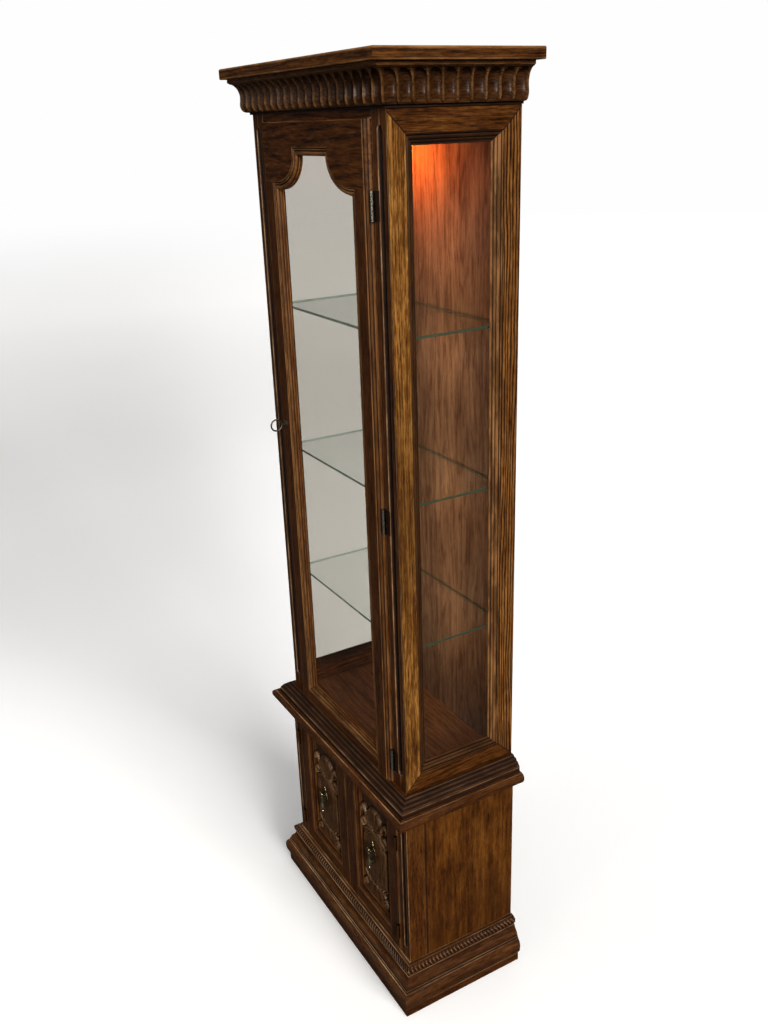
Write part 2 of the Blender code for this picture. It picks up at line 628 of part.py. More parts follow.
def shield_outline():
    """Shield (x from the middle, z): arched crest, waisted body, spread foot."""
    top, foot = PANEL_Z[1] - SHIELD_MARGIN, PANEL_Z[0] + SHIELD_MARGIN
    right = [(0.0480, foot), (0.0560, foot + 0.0120), (0.0500, foot + 0.0300),
             (0.0430, foot + 0.0430), (0.0470, foot + 0.0560), (0.0480, top - 0.0720),
             (0.0560, top - 0.0620), (0.0585, top - 0.0440), (0.0540, top - 0.0330),
             (CREST_HALF, top - CREST_RISE)]
    for i in range(1, 5):
        t = i / 5 * math.pi / 2
        right.append((CREST_HALF * math.cos(t), top - CREST_RISE + CREST_RISE * math.sin(t)))
    return right + [(0.0, top)] + [(-x, z) for x, z in reversed(right)]


def base_door(side, hand):
    """Door frame with stepped moulding, and its loose panel with a raised shield."""
    front, back = BASE_DOOR_FRONT, BASE_DOOR_FRONT + BASE_DOOR_T
    ob = box("base_door_" + hand, span(side, BASE_DOOR_X0, BASE_DOOR_X1), (front, back),
             (BASE_DOOR_Z0, BASE_DOOR_Z1), WOOD)
    for depth, grow in BASE_STEPS:
        cut(ob, base_cutter(side, grow, front - OVER, front + depth))
    cut(ob, base_cutter(side, 0.0, front - 2 * OVER, back + 2 * OVER))
    seat = front + BASE_REBATE_DEPTH
    cut(ob, base_cutter(side, REBATE, seat, back + OVER))
    set_origin(ob, (side * BASE_HINGE_X, BASE_HINGE_Y, 0.300))

    xs, zs = base_opening(side, REBATE - PANE_GAP)
    panel = box("base_panel_" + hand, xs, (seat + GAP, seat + GAP + PANEL_T), zs, WOOD)
    shield = [(side * PANEL_MID + x, z) for x, z in shield_outline()]
    fuse(panel, prism_mesh(shield, SHIELD_FRONT, SHIELD_BACK, "Y"))


# =========================== pulls ===================================
PULL_Z = 0.308
PLATE_HALF_X, PLATE_HALF_Z = 0.0135, 0.0300
PLATE_LOBE = 0.16         # share by which the four lobes swell the plate
PLATE_T = 0.002
PIVOT_Y, PIVOT_Z = SHIELD_FRONT - 0.0105, PULL_Z + 0.0130
PIVOT_R, PIVOT_HALF = 0.0019, 0.0057
LUG_X = 0.0075            # lug centre from the middle of the plate
LUG_HALF_X, LUG_HALF_Z = 0.0014, 0.0035
LUG_Y = (SHIELD_FRONT - 0.0115, SHIELD_FRONT - 0.0015)
# Drop: (radius, height from the pivot)
DROP = [(0.0, 0.0030), (0.0030, 0.0030), (0.0042, -0.0020), (0.0026, -0.0065),
        (0.0026, -0.0180), (0.0050, -0.0260), (0.0072, -0.0350), (0.0055, -0.0430),
        (0.0026, -0.0460), (0.0036, -0.0500), (0.0020, -0.0540), (0.0, -0.0545)]


def pull(side, hand):
    """Lobed backplate with two lugs, and the drop with a cross pin between them."""
    mid = side * PANEL_MID
    outline = []
    for i in range(20):
        t = i / 20 * math.tau
        swell = 1.0 + PLATE_LOBE * math.cos(4 * t)
        outline.append((mid + PLATE_HALF_X * swell * math.cos(t),
                        PULL_Z + PLATE_HALF_Z * swell * math.sin(t)))
    back = SHIELD_FRONT - GAP
    plate = register("pull_plate_" + hand, prism_mesh(outline, back - PLATE_T, back, "Y"), BRASS)
    for x in (mid - LUG_X, mid + LUG_X):
        fuse(plate, box_mesh((x - LUG_HALF_X, x + LUG_HALF_X), LUG_Y,
                             (PIVOT_Z - LUG_HALF_Z, PIVOT_Z + LUG_HALF_Z)))

    pivot = (mid, PIVOT_Y, PIVOT_Z)
    drop = register("pull_drop_" + hand, turned_mesh(DROP, pivot, "Z", 16), BRASS, True)
    fuse(drop, rod_mesh(PIVOT_R, -PIVOT_HALF, PIVOT_HALF, pivot, "X", 12))
    set_origin(drop, pivot)


# =========================== lamp and cord ===================================
# Profiles: (radius, height from the top of the piece)
SOCKET = [(0.0, 0.0), (0.0170, 0.0), (0.0170, -0.0060), (0.0130, -0.0100), (0.0130, -0.0400),
          (0.0100, -0.0400), (0.0100, -0.0300), (0.0, -0.0300)]
LAMP_BULB = [(0.0, 0.0), (0.0080, 0.0), (0.0080, -0.0120), (0.0105, -0.0180),
             (0.0125, -0.0260), (0.0115, -0.0340), (0.0080, -0.0400), (0.0040, -0.0425),
             (0.0, -0.0432)]
BULB_DROP = 0.0308        # ceiling underside to the bulb top
CORD_BACK_Y = BACK_Y[1] + 0.0045
CORD_BEND, CORD_BACK_BEND = 0.012, 0.005    # bends above the lamp and behind the back
CORD_RUN_Z = (1.915, 0.060)                 # top and bottom of the run behind the case
CORD_DRIFT, CORD_WAVE = 0.150, 0.010        # sideways drift and wave of that run


def lamp():
    top = CEIL_Z[0]
    register("lamp_socket", turned_mesh(SOCKET, (LAMP_X, LAMP_Y, top - GAP), "Z", 20),
             PLASTIC, True)
    register("lamp_bulb", turned_mesh(LAMP_BULB, (LAMP_X, LAMP_Y, top - BULB_DROP), "Z", 20),
             BULB, True)


def power_cord():
    """Cord from the lamp, back over the ceiling, through the back panel and down behind it."""
    path = [(LAMP_X, LAMP_Y, CEIL_Z[0] + 0.001)]
    quarter = [i / 4 * math.pi / 2 for i in range(5)]
    r = CORD_BEND
    for t in quarter:
        path.append((LAMP_X, LAMP_Y + r - r * math.cos(t), CORD_TOP_Z - r + r * math.sin(t)))
    r = CORD_BACK_BEND
    for t in quarter:
        path.append((LAMP_X, CORD_BACK_Y - r + r * math.sin(t), CORD_TOP_Z - r + r * math.cos(t)))
    top, bottom = CORD_RUN_Z
    for i in range(1, 25):
        x = LAMP_X - CORD_DRIFT * (i / 24) ** 1.6 + CORD_WAVE * math.sin(i * 0.55)
        path.append((x, CORD_BACK_Y, top - i * (top - bottom) / 24))

    curve = bpy.data.curves.new("cord", "CURVE")
    curve.dimensions = "3D"
    curve.bevel_depth = CORD_R
    curve.bevel_resolution = 1
    curve.use_fill_caps = True
    add_polyline(curve, path)
    mesh = evaluated_mesh(bpy.data.objects.new("cord_line", curve))
    register("power_cord", tidy(mesh), RUBBER, True)


upper_case()
glazed_door()
door_key()
hinges()
moulding("waist", WAIST, CASE_HALF, CASE_FRONT, WOOD)
base_case()
for side, hand in SIDES:
    base_door(side, hand)
    pull(side, hand)
lamp()
power_cord()
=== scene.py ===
# A two-part oak display cabinet: a glazed, lit case over a base with two carved doors.
# It stands on z = 0, is centred on x = 0 and faces -y. "Right" is +x. Units are metres.
import math
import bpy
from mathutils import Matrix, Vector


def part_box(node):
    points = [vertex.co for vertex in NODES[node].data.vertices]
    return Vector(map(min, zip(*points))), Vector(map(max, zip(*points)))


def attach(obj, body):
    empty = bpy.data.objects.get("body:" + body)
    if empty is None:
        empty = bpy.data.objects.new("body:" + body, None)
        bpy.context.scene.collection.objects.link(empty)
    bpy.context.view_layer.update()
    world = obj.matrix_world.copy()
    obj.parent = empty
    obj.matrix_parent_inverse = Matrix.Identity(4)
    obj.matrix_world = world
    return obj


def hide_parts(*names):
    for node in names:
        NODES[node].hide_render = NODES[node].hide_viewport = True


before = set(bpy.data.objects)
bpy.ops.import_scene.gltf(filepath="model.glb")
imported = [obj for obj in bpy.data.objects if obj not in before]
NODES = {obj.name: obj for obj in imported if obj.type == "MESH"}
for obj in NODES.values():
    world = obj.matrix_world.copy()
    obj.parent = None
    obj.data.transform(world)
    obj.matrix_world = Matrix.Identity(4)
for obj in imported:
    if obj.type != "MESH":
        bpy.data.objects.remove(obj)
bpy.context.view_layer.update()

import zlib

import bpy
import bmesh
import numpy as np
from mathutils import Matrix, Vector

SCENE = bpy.context.scene

SIDES = ((1.0, "right"), (-1.0, "left"))
RUNS = ("front", "left", "right")

# =============================================================================
# Measures taken from the CAD pieces
# =============================================================================
TOP_LO, TOP_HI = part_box("top_board")
SIDE_LO, SIDE_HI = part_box("side_frame_right")
FACE_STILE_LO, FACE_STILE_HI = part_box("face_stile_right")
BASE_SIDE_LO, BASE_SIDE_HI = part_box("base_side_right")
BASE_STILE_LO, BASE_STILE_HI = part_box("base_stile_right")
DOOR_LO, DOOR_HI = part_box("glass_door_frame")
BASE_DOOR_LO, BASE_DOOR_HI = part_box("base_door_right")
PANEL_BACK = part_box("base_panel_right")[1].y
PULL_LO, PULL_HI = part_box("pull_plate_right")

# half width, front plane and back plane of the upper case and of the base
UPPER = UPPER_HALF, UPPER_FRONT, UPPER_BACK = SIDE_HI.x, FACE_STILE_LO.y, SIDE_HI.y
BASE = BASE_HALF, BASE_FRONT, BASE_BACK = BASE_SIDE_HI.x, BASE_STILE_LO.y, BASE_SIDE_HI.y
SIDE_T = 0.018          # depth of the 45 degree joint between upper side and corner stile


# =============================================================================
# Shader building
# =============================================================================
class Shader:
    """Builds the node tree of a material or world with short calls."""

    def __init__(self, owner, kind="Material"):
        owner.use_nodes = True
        self.owner = owner
        self.tree = owner.node_tree
        self.tree.nodes.clear()
        self.output = self.add("Output" + kind)

    def add(self, kind, inputs=None, **props):
        node = self.tree.nodes.new("ShaderNode" + kind)
        for key, value in props.items():
            setattr(node, key, value)
        for key, value in (inputs or {}).items():
            self.put(node.inputs[key], value)
        return node

    def put(self, socket, value):
        """Links a socket, or sets its value; a colour's alpha is always 1."""
        if isinstance(value, bpy.types.NodeSocket):
            self.tree.links.new(value, socket)
        elif socket.type == "RGBA":
            socket.default_value = (*value[:3], 1.0)
        else:
            socket.default_value = value

    def finish(self, surface):
        self.put(self.output.inputs[0], surface)
        return self.owner

    def math(self, operation, a, b=0.0, clamp=False):
        inputs = {0: a, 1: b, 2: 0.0}
        return self.add("Math", inputs, operation=operation, use_clamp=clamp).outputs[0]

    def plus(self, a, b, clamp=False):
        return self.math("ADD", a, b, clamp)

    def minus(self, a, b, clamp=False):
        return self.math("SUBTRACT", a, b, clamp)

    def times(self, a, b, clamp=False):
        return self.math("MULTIPLY", a, b, clamp)

    def swing(self, value, gain):
        """A 0..1 value turned into a swing about zero."""
        return self.times(self.minus(value, 0.5), gain)

    def vmath(self, operation, a, b=(0, 0, 0)):
        node = self.add("VectorMath", {0: a, 1: b}, operation=operation)
        scalar = operation in ("LENGTH", "DOT_PRODUCT")
        return node.outputs["Value"] if scalar else node.outputs[0]

    def noise(self, coords, stretch, detail=2.0, rough=0.5, distort=0.0):
        """Noise; stretch is its frequency along each axis, or one number for all."""
        if not hasattr(stretch, "__len__"):
            stretch = (stretch,) * 3
        inputs = {"Vector": self.vmath("MULTIPLY", coords, stretch), "Scale": 1.0,
                  "Detail": detail, "Roughness": rough, "Distortion": distort}
        return self.add("TexNoise", inputs).outputs["Fac"]

    def ramp(self, factor, stops):
        """Colour ramp from (position, colour or grey) stops."""
        node = self.add("ValToRGB", {0: factor})
        elements = node.color_ramp.elements
        while len(elements) < len(stops):
            elements.new(0.5)
        for element, (position, colour) in zip(elements, stops):
            rgb = colour if hasattr(colour, "__len__") else (colour,) * 3
            element.position = position
            element.color = (*rgb, 1.0)
        return node.outputs[0]

    def mix(self, factor, a, b, blend="MIX"):
        inputs = {0: factor, 6: a, 7: b}
        return self.add("Mix", inputs, data_type="RGBA", blend_type=blend).outputs[2]

    def mix_shader(self, factor, a, b):
        return self.add("MixShader", {0: factor, 1: a, 2: b}).outputs[0]

    def remap(self, value, span=(0.0, 1.0), to=(0.0, 1.0), smooth=False):
        inputs = {0: value, 1: span[0], 2: span[1], 3: to[0], 4: to[1]}
        kind = "SMOOTHSTEP" if smooth else "LINEAR"
        return self.add("MapRange", inputs, interpolation_type=kind).outputs[0]

    def bump(self, height, strength, distance):
        inputs = {"Strength": strength, "Distance": distance, "Height": height}
        return self.add("Bump", inputs).outputs[0]

    def principled(self, **values):
        """Underscores in the argument names stand for spaces in the socket names."""
        inputs = {key.replace("_", " "): value for key, value in values.items()}
        return self.add("BsdfPrincipled", inputs).outputs[0]

    def attribute(self, name, output="Fac"):
        return self.add("Attribute", attribute_name=name).outputs[output]

    def object_coords(self):
        return self.add("TexCoord").outputs["Object"]

    def split(self, vector):
        return self.add("SeparateXYZ", {0: vector}).outputs


def shade(colour, factor):
    return tuple(min(1.0, c * factor) for c in colour)


AXIS_ORDER = {"X": (1, 2, 0), "Y": (0, 2, 1), "Z": (0, 1, 2)}   # the grain axis goes last


def grain_space(s, axis, shift):
    """Coordinates whose third number runs along the grain; without an axis, the mesh's own."""
    if axis is None:
        return s.attribute("wood_co", "Vector")
    parts = s.split(s.object_coords())
    turned = s.add("CombineXYZ", {i: parts[k] for i, k in enumerate(AXIS_ORDER[axis])})
    return s.vmath("ADD", turned.outputs[0], (shift * 1.7, shift * 0.6, shift * 2.3))


GLAZE_AND_SHADE = (0.0060, 0.0022, 0.0009)     # old glaze and dirt in the hollows, and painted shade in creases, recesses and under mouldings
TONES = {
    # glaze in the pores, middle, light, rubbed edge (also the colour of painted highlights)
    # lighter than the other oak: partly painted light from the lamp
    "deck": ((0.0480, 0.0170, 0.0050), (0.1380, 0.0540, 0.0190),
             (0.2400, 0.1080, 0.0450), (0.30, 0.15, 0.07)),
    # darker than the frames: partly painted shade in the recessed mouldings
    "bead": ((0.0100, 0.0030, 0.0007), (0.0500, 0.0165, 0.0040),
             (0.1100, 0.0420, 0.0110), (0.40, 0.190, 0.070)),
    # its rubbed colour is pale: painted highlight along the arrises
    "edge": ((0.0110, 0.0030, 0.0006), (0.0640, 0.0185, 0.0034),
             (0.1350, 0.0470, 0.0105), (0.62, 0.40, 0.22)),
    # paler and greyer than the frames: partly a painted sheen
    "panel": ((0.0130, 0.0046, 0.0013), (0.0780, 0.0320, 0.0105),
              (0.1450, 0.0660, 0.0250), (0.34, 0.20, 0.10)),
    "carve": ((0.0095, 0.0030, 0.0007), (0.0640, 0.0205, 0.0042),
              (0.1350, 0.0500, 0.0120), (0.36, 0.185, 0.072)),
    "dark": ((0.0110, 0.0030, 0.0006), (0.0640, 0.0185, 0.0034),
             (0.1350, 0.0470, 0.0105), (0.33, 0.155, 0.052)),
    "mid": ((0.0140, 0.0038, 0.0008), (0.0820, 0.0245, 0.0038),
            (0.1750, 0.0640, 0.0120), (0.36, 0.170, 0.056)),
    "rear": ((0.0190, 0.0056, 0.0011), (0.2050, 0.0760, 0.0170),
             (0.4000, 0.1850, 0.0500), (0.44, 0.220, 0.075)),
    "amber": ((0.0330, 0.0095, 0.0017), (0.1850, 0.0700, 0.0125),
              (0.5100, 0.2400, 0.0540), (0.56, 0.30, 0.095)),
    "veneer": ((0.0280, 0.0080, 0.0010), (0.1050, 0.0315, 0.0042),
               (0.2050, 0.0750, 0.0110), (0.36, 0.165, 0.048)),
    "back": ((0.0820, 0.0350, 0.0170), (0.1820, 0.0940, 0.0490),
             (0.2900, 0.1650, 0.0940), (0.30, 0.15, 0.07)),
}


def wood(name, tone, axis=None, shift=0.0, figure=1.0, blotch=0.5, pores=1.0, gloss=0.36,
         bands=0.5, width=1.0, wave=1.0, rub_highlight=1.0, fur=0.6, extra=None):
    """Open-grained stained oak.

    figure: contrast of the streaks. blotch: cloudiness. pores: depth of the pores.
    gloss: middle roughness. bands: strength of the growth rings, width: their spacing,
    wave: how far they wander. rub: wear and painted highlight on high edges. fur: contrast of the
    finest grain.
    extra: function (shader, colour) that changes the colour.
    """
    glaze, middle, light, rubbed_highlight = TONES[tone]
    s = Shader(bpy.data.materials.new(name))
    coords = grain_space(s, axis, shift)

    # growth rings: bands across the grain, pushed about by two noises
    wander = s.noise(coords, stretch=(8.0, 8.0, 1.3))
    wobble = s.noise(coords, stretch=(45.0, 45.0, 6.0), rough=0.55)
    x, y, _ = s.split(coords)
    across = s.plus(s.times(x, 1.0), s.times(y, 0.83))
    drift = s.plus(s.times(wander, 11.0 * wave), s.times(wobble, 1.5))
    rings_per_metre = 150.0 / width
    phase = s.math("FRACT", s.plus(s.times(across, rings_per_metre), drift))
    ring = s.remap(s.math("ABSOLUTE", s.minus(phase, 0.62)),
                   span=(0.0, 0.30), to=(1.0, 0.0), smooth=True)

    streak = s.noise(coords, stretch=(300.0 / width, 300.0 / width, 7.0), rough=0.55)
    fine = s.noise(coords, stretch=(520.0, 520.0, 44.0), rough=0.6)
    dash = s.noise(coords, stretch=(430.0, 430.0, 62.0), rough=0.55)
    pore = s.remap(dash, span=(0.37, 0.45), to=(1.0, 0.0), smooth=True)
    pore = s.times(pore, s.remap(ring, span=(0.1, 0.9), to=(0.40, 1.0)))
    cloud = s.noise(coords, stretch=(22.0, 22.0, 9.0), detail=5.0, rough=0.62, distort=0.5)
    fleck = s.noise(coords, stretch=(120.0, 120.0, 34.0), detail=4.0, rough=0.66)

    value = s.plus(0.5, s.swing(streak, gain=1.35 * figure))
    value = s.minus(value, s.times(ring, 0.38 * bands))
    value = s.plus(value, s.swing(fine, gain=2.2 * fur))
    value = s.plus(value, s.swing(cloud, gain=2.4 * blotch))
    value = s.plus(value, s.swing(fleck, gain=1.9 * blotch), clamp=True)
    colour = s.ramp(value, stops=[(0.02, glaze), (0.44, middle), (0.90, light)])
    if extra is not None:
        colour = extra(s, colour)
    colour = s.mix(s.times(pore, 0.80 * pores), colour, glaze)

    # glaze settled in hollows with painted shade, finish rubbed off high edges with painted
    # highlight, both in patches
    dirt = s.attribute("dirt")
    wear = s.attribute("wear")
    patch = s.noise(coords, stretch=(70.0, 70.0, 14.0), detail=4.0, rough=0.65)
    settled_shade = s.times(dirt, s.remap(patch, span=(0.25, 0.75), to=(1.0, 0.72)))
    colour = s.mix(s.times(settled_shade, 1.05, clamp=True), colour, GLAZE_AND_SHADE)
    rubbing_highlight = s.remap(patch, span=(0.36, 0.66), to=(0.22 * rub_highlight, 1.0 * rub_highlight), smooth=True)
    rubbing_highlight = s.times(s.math("POWER", wear, 1.4), rubbing_highlight, clamp=True)
    colour = s.mix(rubbing_highlight, colour, rubbed_highlight)

    # pores, dirt and painted shade are duller than the polished surface
    rough = s.remap(fleck, span=(0.3, 0.7), to=(gloss - 0.09, gloss + 0.12))
    rough = s.plus(rough, s.times(pore, 0.2), clamp=True)
    rough = s.plus(rough, s.times(dirt, 0.36), clamp=True)
    height = s.plus(s.times(streak, 0.35), s.times(fine, 0.25))
    height = s.minus(height, s.times(pore, 0.75 * pores))
    height = s.minus(height, s.times(ring, 0.20))
    return s.finish(s.principled(
        Base_Color=colour, Roughness=rough,
        Normal=s.bump(height, strength=0.45, distance=0.00035),
        Coat_Weight=0.06, Coat_Roughness=0.17, Specular_IOR_Level=0.20, IOR=1.50))


def handled(s, colour):
    """Painted shade: the stile is darker along its middle, in soft patches."""
    middle_z, narrowness = 1.16, 3.4
    offset = s.times(s.minus(s.split(s.object_coords())[2], middle_z), narrowness)
    dip = s.minus(1.0, s.times(offset, offset), clamp=True)
    soft = s.noise(s.object_coords(), stretch=(9.0, 9.0, 3.0), detail=3.0, rough=0.6)
    factor = s.times(dip, s.remap(soft, span=(0.3, 0.7), to=(0.35, 0.75)))
    return s.mix(factor, colour, (0.055, 0.0185, 0.0040))


def settled_low(s, colour):
    """Darker towards the plinth, in soft clouds."""
    z = s.split(s.object_coords())[2]
    low = s.remap(z, span=(0.34, 0.14), to=(0.0, 0.42), smooth=True)
    soft = s.noise(s.object_coords(), stretch=(26.0, 26.0, 4.0), detail=3.0, rough=0.6)
    clouds = s.remap(soft, span=(0.48, 0.70), to=(0.0, 0.40), smooth=True)
    return s.mix(s.plus(low, clouds, clamp=True), colour, (0.040, 0.0115, 0.0018))


def veneer_joints(s, colour):
    """Sheets of veneer side by side: each a little different, a thin joint between."""
    sheet_width = 0.098
    place = s.math("DIVIDE", s.split(s.object_coords())[0], sheet_width)
    sheet = s.add("TexWhiteNoise", {"W": s.math("FLOOR", place)}, noise_dimensions="1D")
    tint = s.remap(sheet.outputs["Value"], to=(0.88, 1.08))
    edge = s.math("ABSOLUTE", s.minus(s.math("FRACT", place), 0.5))
    joint = s.remap(edge, span=(0.488, 0.498), to=(0.0, 0.55), smooth=True)
    grey = s.add("CombineColor", {0: tint, 1: tint, 2: tint}).outputs[0]
    return s.mix(joint, s.mix(1.0, colour, grey, blend="MULTIPLY"), (0.02, 0.008, 0.004))


def glass_edge(s, coords, geometry, colour):
    """Colour gathered in the narrow polished faces of a shelf."""
    ripple = s.noise(coords, stretch=(26.0, 26.0, 900.0), detail=3.0, rough=0.6)
    stops = [(0.25, shade(colour, 0.6)), (0.55, colour), (0.85, shade(colour, 1.5))]
    polished = s.principled(Base_Color=s.ramp(ripple, stops), Specular_IOR_Level=0.6,
                            Roughness=s.remap(ripple, span=(0.3, 0.7), to=(0.10, 0.28)))
    thin = s.add("BsdfTransparent", {0: (0.72, 0.86, 0.78)}).outputs[0]
    # the far edge, met from inside the glass, shows only as a faint line
    facing = s.remap(geometry.outputs["Backfacing"], to=(0.78, 0.22))
    return s.mix_shader(facing, thin, polished)


def glass(name, tint, edge=None):
    """Flat clear glass: mirrors at a glancing angle and carries a faint film of smears."""
    mirror = 0.5
    s = Shader(bpy.data.materials.new(name))
    coords = s.object_coords()
    smear = s.noise(coords, stretch=(7.0, 7.0, 4.0), detail=4.0, rough=0.6, distort=0.6)
    clear = s.add("BsdfTransparent", {0: tint}).outputs[0]
    gloss = s.add("BsdfGlossy", {
        "Roughness": s.remap(smear, span=(0.35, 0.7), to=(0.008, 0.045)),
        "Color": (0.96, 0.98, 1.0)}).outputs[0]
    fresnel = s.add("Fresnel", {"IOR": 1.45}).outputs[0]
    geometry = s.add("NewGeometry")
    # only the face turned to the eye mirrors: the two faces of the thin pane act as one
    front_only = s.times(s.minus(1.0, geometry.outputs["Backfacing"]), mirror)
    surface = s.mix_shader(s.times(fresnel, front_only), clear, gloss)
    film = s.add("BsdfDiffuse", {0: (0.72, 0.74, 0.74)}).outputs[0]
    surface = s.mix_shader(s.remap(smear, span=(0.42, 0.80), to=(0.001, 0.008)), surface, film)
    if edge is not None:
        normal_z = s.split(geometry.outputs["True Normal"])[2]
        upright = s.math("LESS_THAN", s.math("ABSOLUTE", normal_z), 0.6)
        surface = s.mix_shader(upright, surface, glass_edge(s, coords, geometry, edge))
    return s.finish(surface)


def metal(name, base, tarnish, rough, amount):
    """Cast or drawn metal, tarnished in patches by amount. Pieces that carry wear and
    dirt are darker in hollows and brighter on high spots."""
    s = Shader(bpy.data.materials.new(name))
    coords = s.object_coords()
    coarse = s.noise(coords, stretch=220.0, detail=4.0, rough=0.62)
    fine = s.noise(coords, stretch=900.0, detail=3.0, rough=0.6)
    dirt, wear = s.attribute("dirt"), s.attribute("wear")
    patches = s.remap(coarse, span=(0.38, 0.66), to=(0.0, amount), smooth=True)
    dull = s.plus(patches, s.times(dirt, 0.8), clamp=True)
    dull = s.minus(dull, s.times(wear, 0.7), clamp=True)
    roughness = s.plus(s.remap(fine, span=(0.3, 0.7), to=(rough - 0.08, rough + 0.12)),
                       s.times(dull, 0.22), clamp=True)
    height = s.plus(s.times(coarse, 0.6), s.times(fine, 0.4))
    return s.finish(s.principled(
        Base_Color=s.mix(dull, base, tarnish), Roughness=roughness,
        Metallic=s.remap(dull, to=(1.0, 0.75)),
        Normal=s.bump(height, strength=0.25, distance=0.0002)))


def hinge_metal(name, pin, radius, barrel, leaf, shine):
    """A hinge: knuckles within radius of the pin (x, y) in the barrel colour with a painted
    highlight and painted shade, a dark leaf.
    """
    s = Shader(bpy.data.materials.new(name))
    coords = s.object_coords()
    offset = s.vmath("MULTIPLY", s.vmath("SUBTRACT", coords, (*pin, 0.0)), (1.0, 1.0, 0.0))
    knuckle = s.math("LESS_THAN", s.vmath("LENGTH", offset), radius * 1.06)
    patch = s.noise(coords, stretch=160.0, detail=3.0, rough=0.6)
    brushed = s.noise(coords, stretch=(900.0, 900.0, 120.0), detail=3.0, rough=0.6)
    normal = s.add("NewGeometry").outputs["Normal"]
    # painted highlight: the side of the knuckle facing front and right gets the barrel colour, the
    # rest painted shade at a tenth of it
    proud = s.remap(s.vmath("DOT_PRODUCT", normal, (0.62, -0.785, 0.0)),
                    span=(0.80, 0.93), smooth=True)
    proud = s.times(proud, s.remap(patch, span=(0.34, 0.60), to=(1.0, 0.80), smooth=True))
    lit = s.mix(proud, shade(barrel, 0.10), barrel)
    scuffed = s.remap(brushed, span=(0.4, 0.7), to=(0.0, 0.5), smooth=True)
    blackened = s.mix(scuffed, leaf, shade(leaf, 2.6))
    return s.finish(s.principled(
        Base_Color=s.mix(knuckle, blackened, lit), Metallic=s.times(knuckle, shine),
        Specular_IOR_Level=0.12,
        Roughness=s.plus(s.remap(knuckle, to=(0.60, 0.24)),
                         s.remap(brushed, span=(0.3, 0.7), to=(-0.05, 0.08))),
        Normal=s.bump(brushed, strength=0.05, distance=0.00005)))


def plastic(name, base, rough):
    s = Shader(bpy.data.materials.new(name))
    coords = s.object_coords()
    coarse = s.noise(coords, stretch=260.0, detail=3.0, rough=0.6)
    fine = s.noise(coords, stretch=2400.0)
    stain = s.remap(coarse, span=(0.35, 0.7), to=(0.0, 0.55))
    return s.finish(s.principled(
        Base_Color=s.mix(stain, base, shade(base, 0.62)),
        Roughness=s.remap(fine, span=(0.3, 0.7), to=(rough - 0.08, rough + 0.10)),
        Normal=s.bump(fine, strength=0.2, distance=0.0001)))


def lamp_glass(name, colour, strength):
    """Frosted lamp glass, hotter in the middle than at its edge."""
    s = Shader(bpy.data.materials.new(name))
    frost = s.noise(s.object_coords(), stretch=180.0)
    facing = s.add("LayerWeight", {0: 0.35}).outputs["Facing"]
    return s.finish(s.principled(
        Base_Color=(0.9, 0.85, 0.75),
        Roughness=s.remap(frost, span=(0.3, 0.7), to=(0.12, 0.3)),
        Emission_Color=s.mix(facing, (1.0, 0.72, 0.36), colour),
        Emission_Strength=s.remap(frost, span=(0.2, 0.8),
                                  to=(strength * 0.85, strength * 1.1))))


# =============================================================================
# Mesh building: closed sections, lofts, and wear with painted highlight and dirt with painted
# shade read from their shape
# =============================================================================
def name_seeds(name):
    code = zlib.crc32(name.encode())
    return (code % 997) / 997.0, (code // 997 % 991) / 991.0, (code // 900000 % 977) / 977.0


def outline(points, arc=0.0006):
    """Closed section from corners (a, b[, bulge]).

    The bulge bends the segment leading to its corner: tan(angle / 4), so 1 is a half
    circle and about 0.41 a quarter. Straight segments get extra points near their ends.
    """
    result = []
    for i, corner in enumerate(points):
        following = points[(i + 1) % len(points)]
        start, end = np.array(corner[:2], float), np.array(following[:2], float)
        length = float(np.linalg.norm(end - start))
        if length < 1e-9:
            continue
        result.append(start)
        along = (end - start) / length
        if len(following) > 2:
            bulge = following[2]
            angle = 4 * math.atan(bulge)
            radius = length / (2 * math.sin(abs(angle) / 2))
            steps = min(max(3, int(math.ceil(abs(angle) * radius / arc))), 28)
            left = np.array((-along[1], along[0]))
            rise = radius * math.cos(abs(angle) / 2) * (1 if bulge > 0 else -1)
            centre = (start + end) / 2 + left * rise
            first = math.atan2(start[1] - centre[1], start[0] - centre[0])
            for k in range(1, steps):
                a = first + angle * k / steps
                result.append(centre + radius * np.array((math.cos(a), math.sin(a))))
        else:
            marks = [mark for mark in (0.0007, 0.0018, 0.0042) if mark < length * 0.42]
            for distance in marks + [length - mark for mark in reversed(marks)]:
                result.append(start + along * distance)
    return np.array(result)


def signed_area(points):
    x, y = points[:, 0], points[:, 1]
    return 0.5 * np.sum(x * np.roll(y, -1) - np.roll(x, -1) * y)


def wear_marks(section, reach=0.0020, size=0.00065):
    """Wear and painted highlight where a section stands proud of its neighbourhood, dirt and
    painted shade where it lies behind.
    """
    lengths = np.linalg.norm(np.roll(section, -1, 0) - section, axis=1)
    travel = np.concatenate([[0.0], np.cumsum(lengths)])
    loop = np.vstack([section, section[:1]])

    def at(distance):
        distance = np.mod(distance, travel[-1])
        return np.stack([np.interp(distance, travel, loop[:, k]) for k in (0, 1)], 1)

    behind, ahead = at(travel[:-1] - reach), at(travel[:-1] + reach)
    tangent = ahead - behind
    normal = np.stack([tangent[:, 1], -tangent[:, 0]], 1)
    normal /= np.maximum(np.linalg.norm(normal, axis=1, keepdims=True), 1e-9)
    if signed_area(section) < 0:
        normal = -normal
    proud = ((section - (behind + ahead) / 2) * normal).sum(1) / size
    return np.clip(proud, 0, 1), np.clip(-proud, 0, 1)


def near(section, point, radius):
    return np.hypot(section[:, 0] - point[0], section[:, 1] - point[1]) < radius


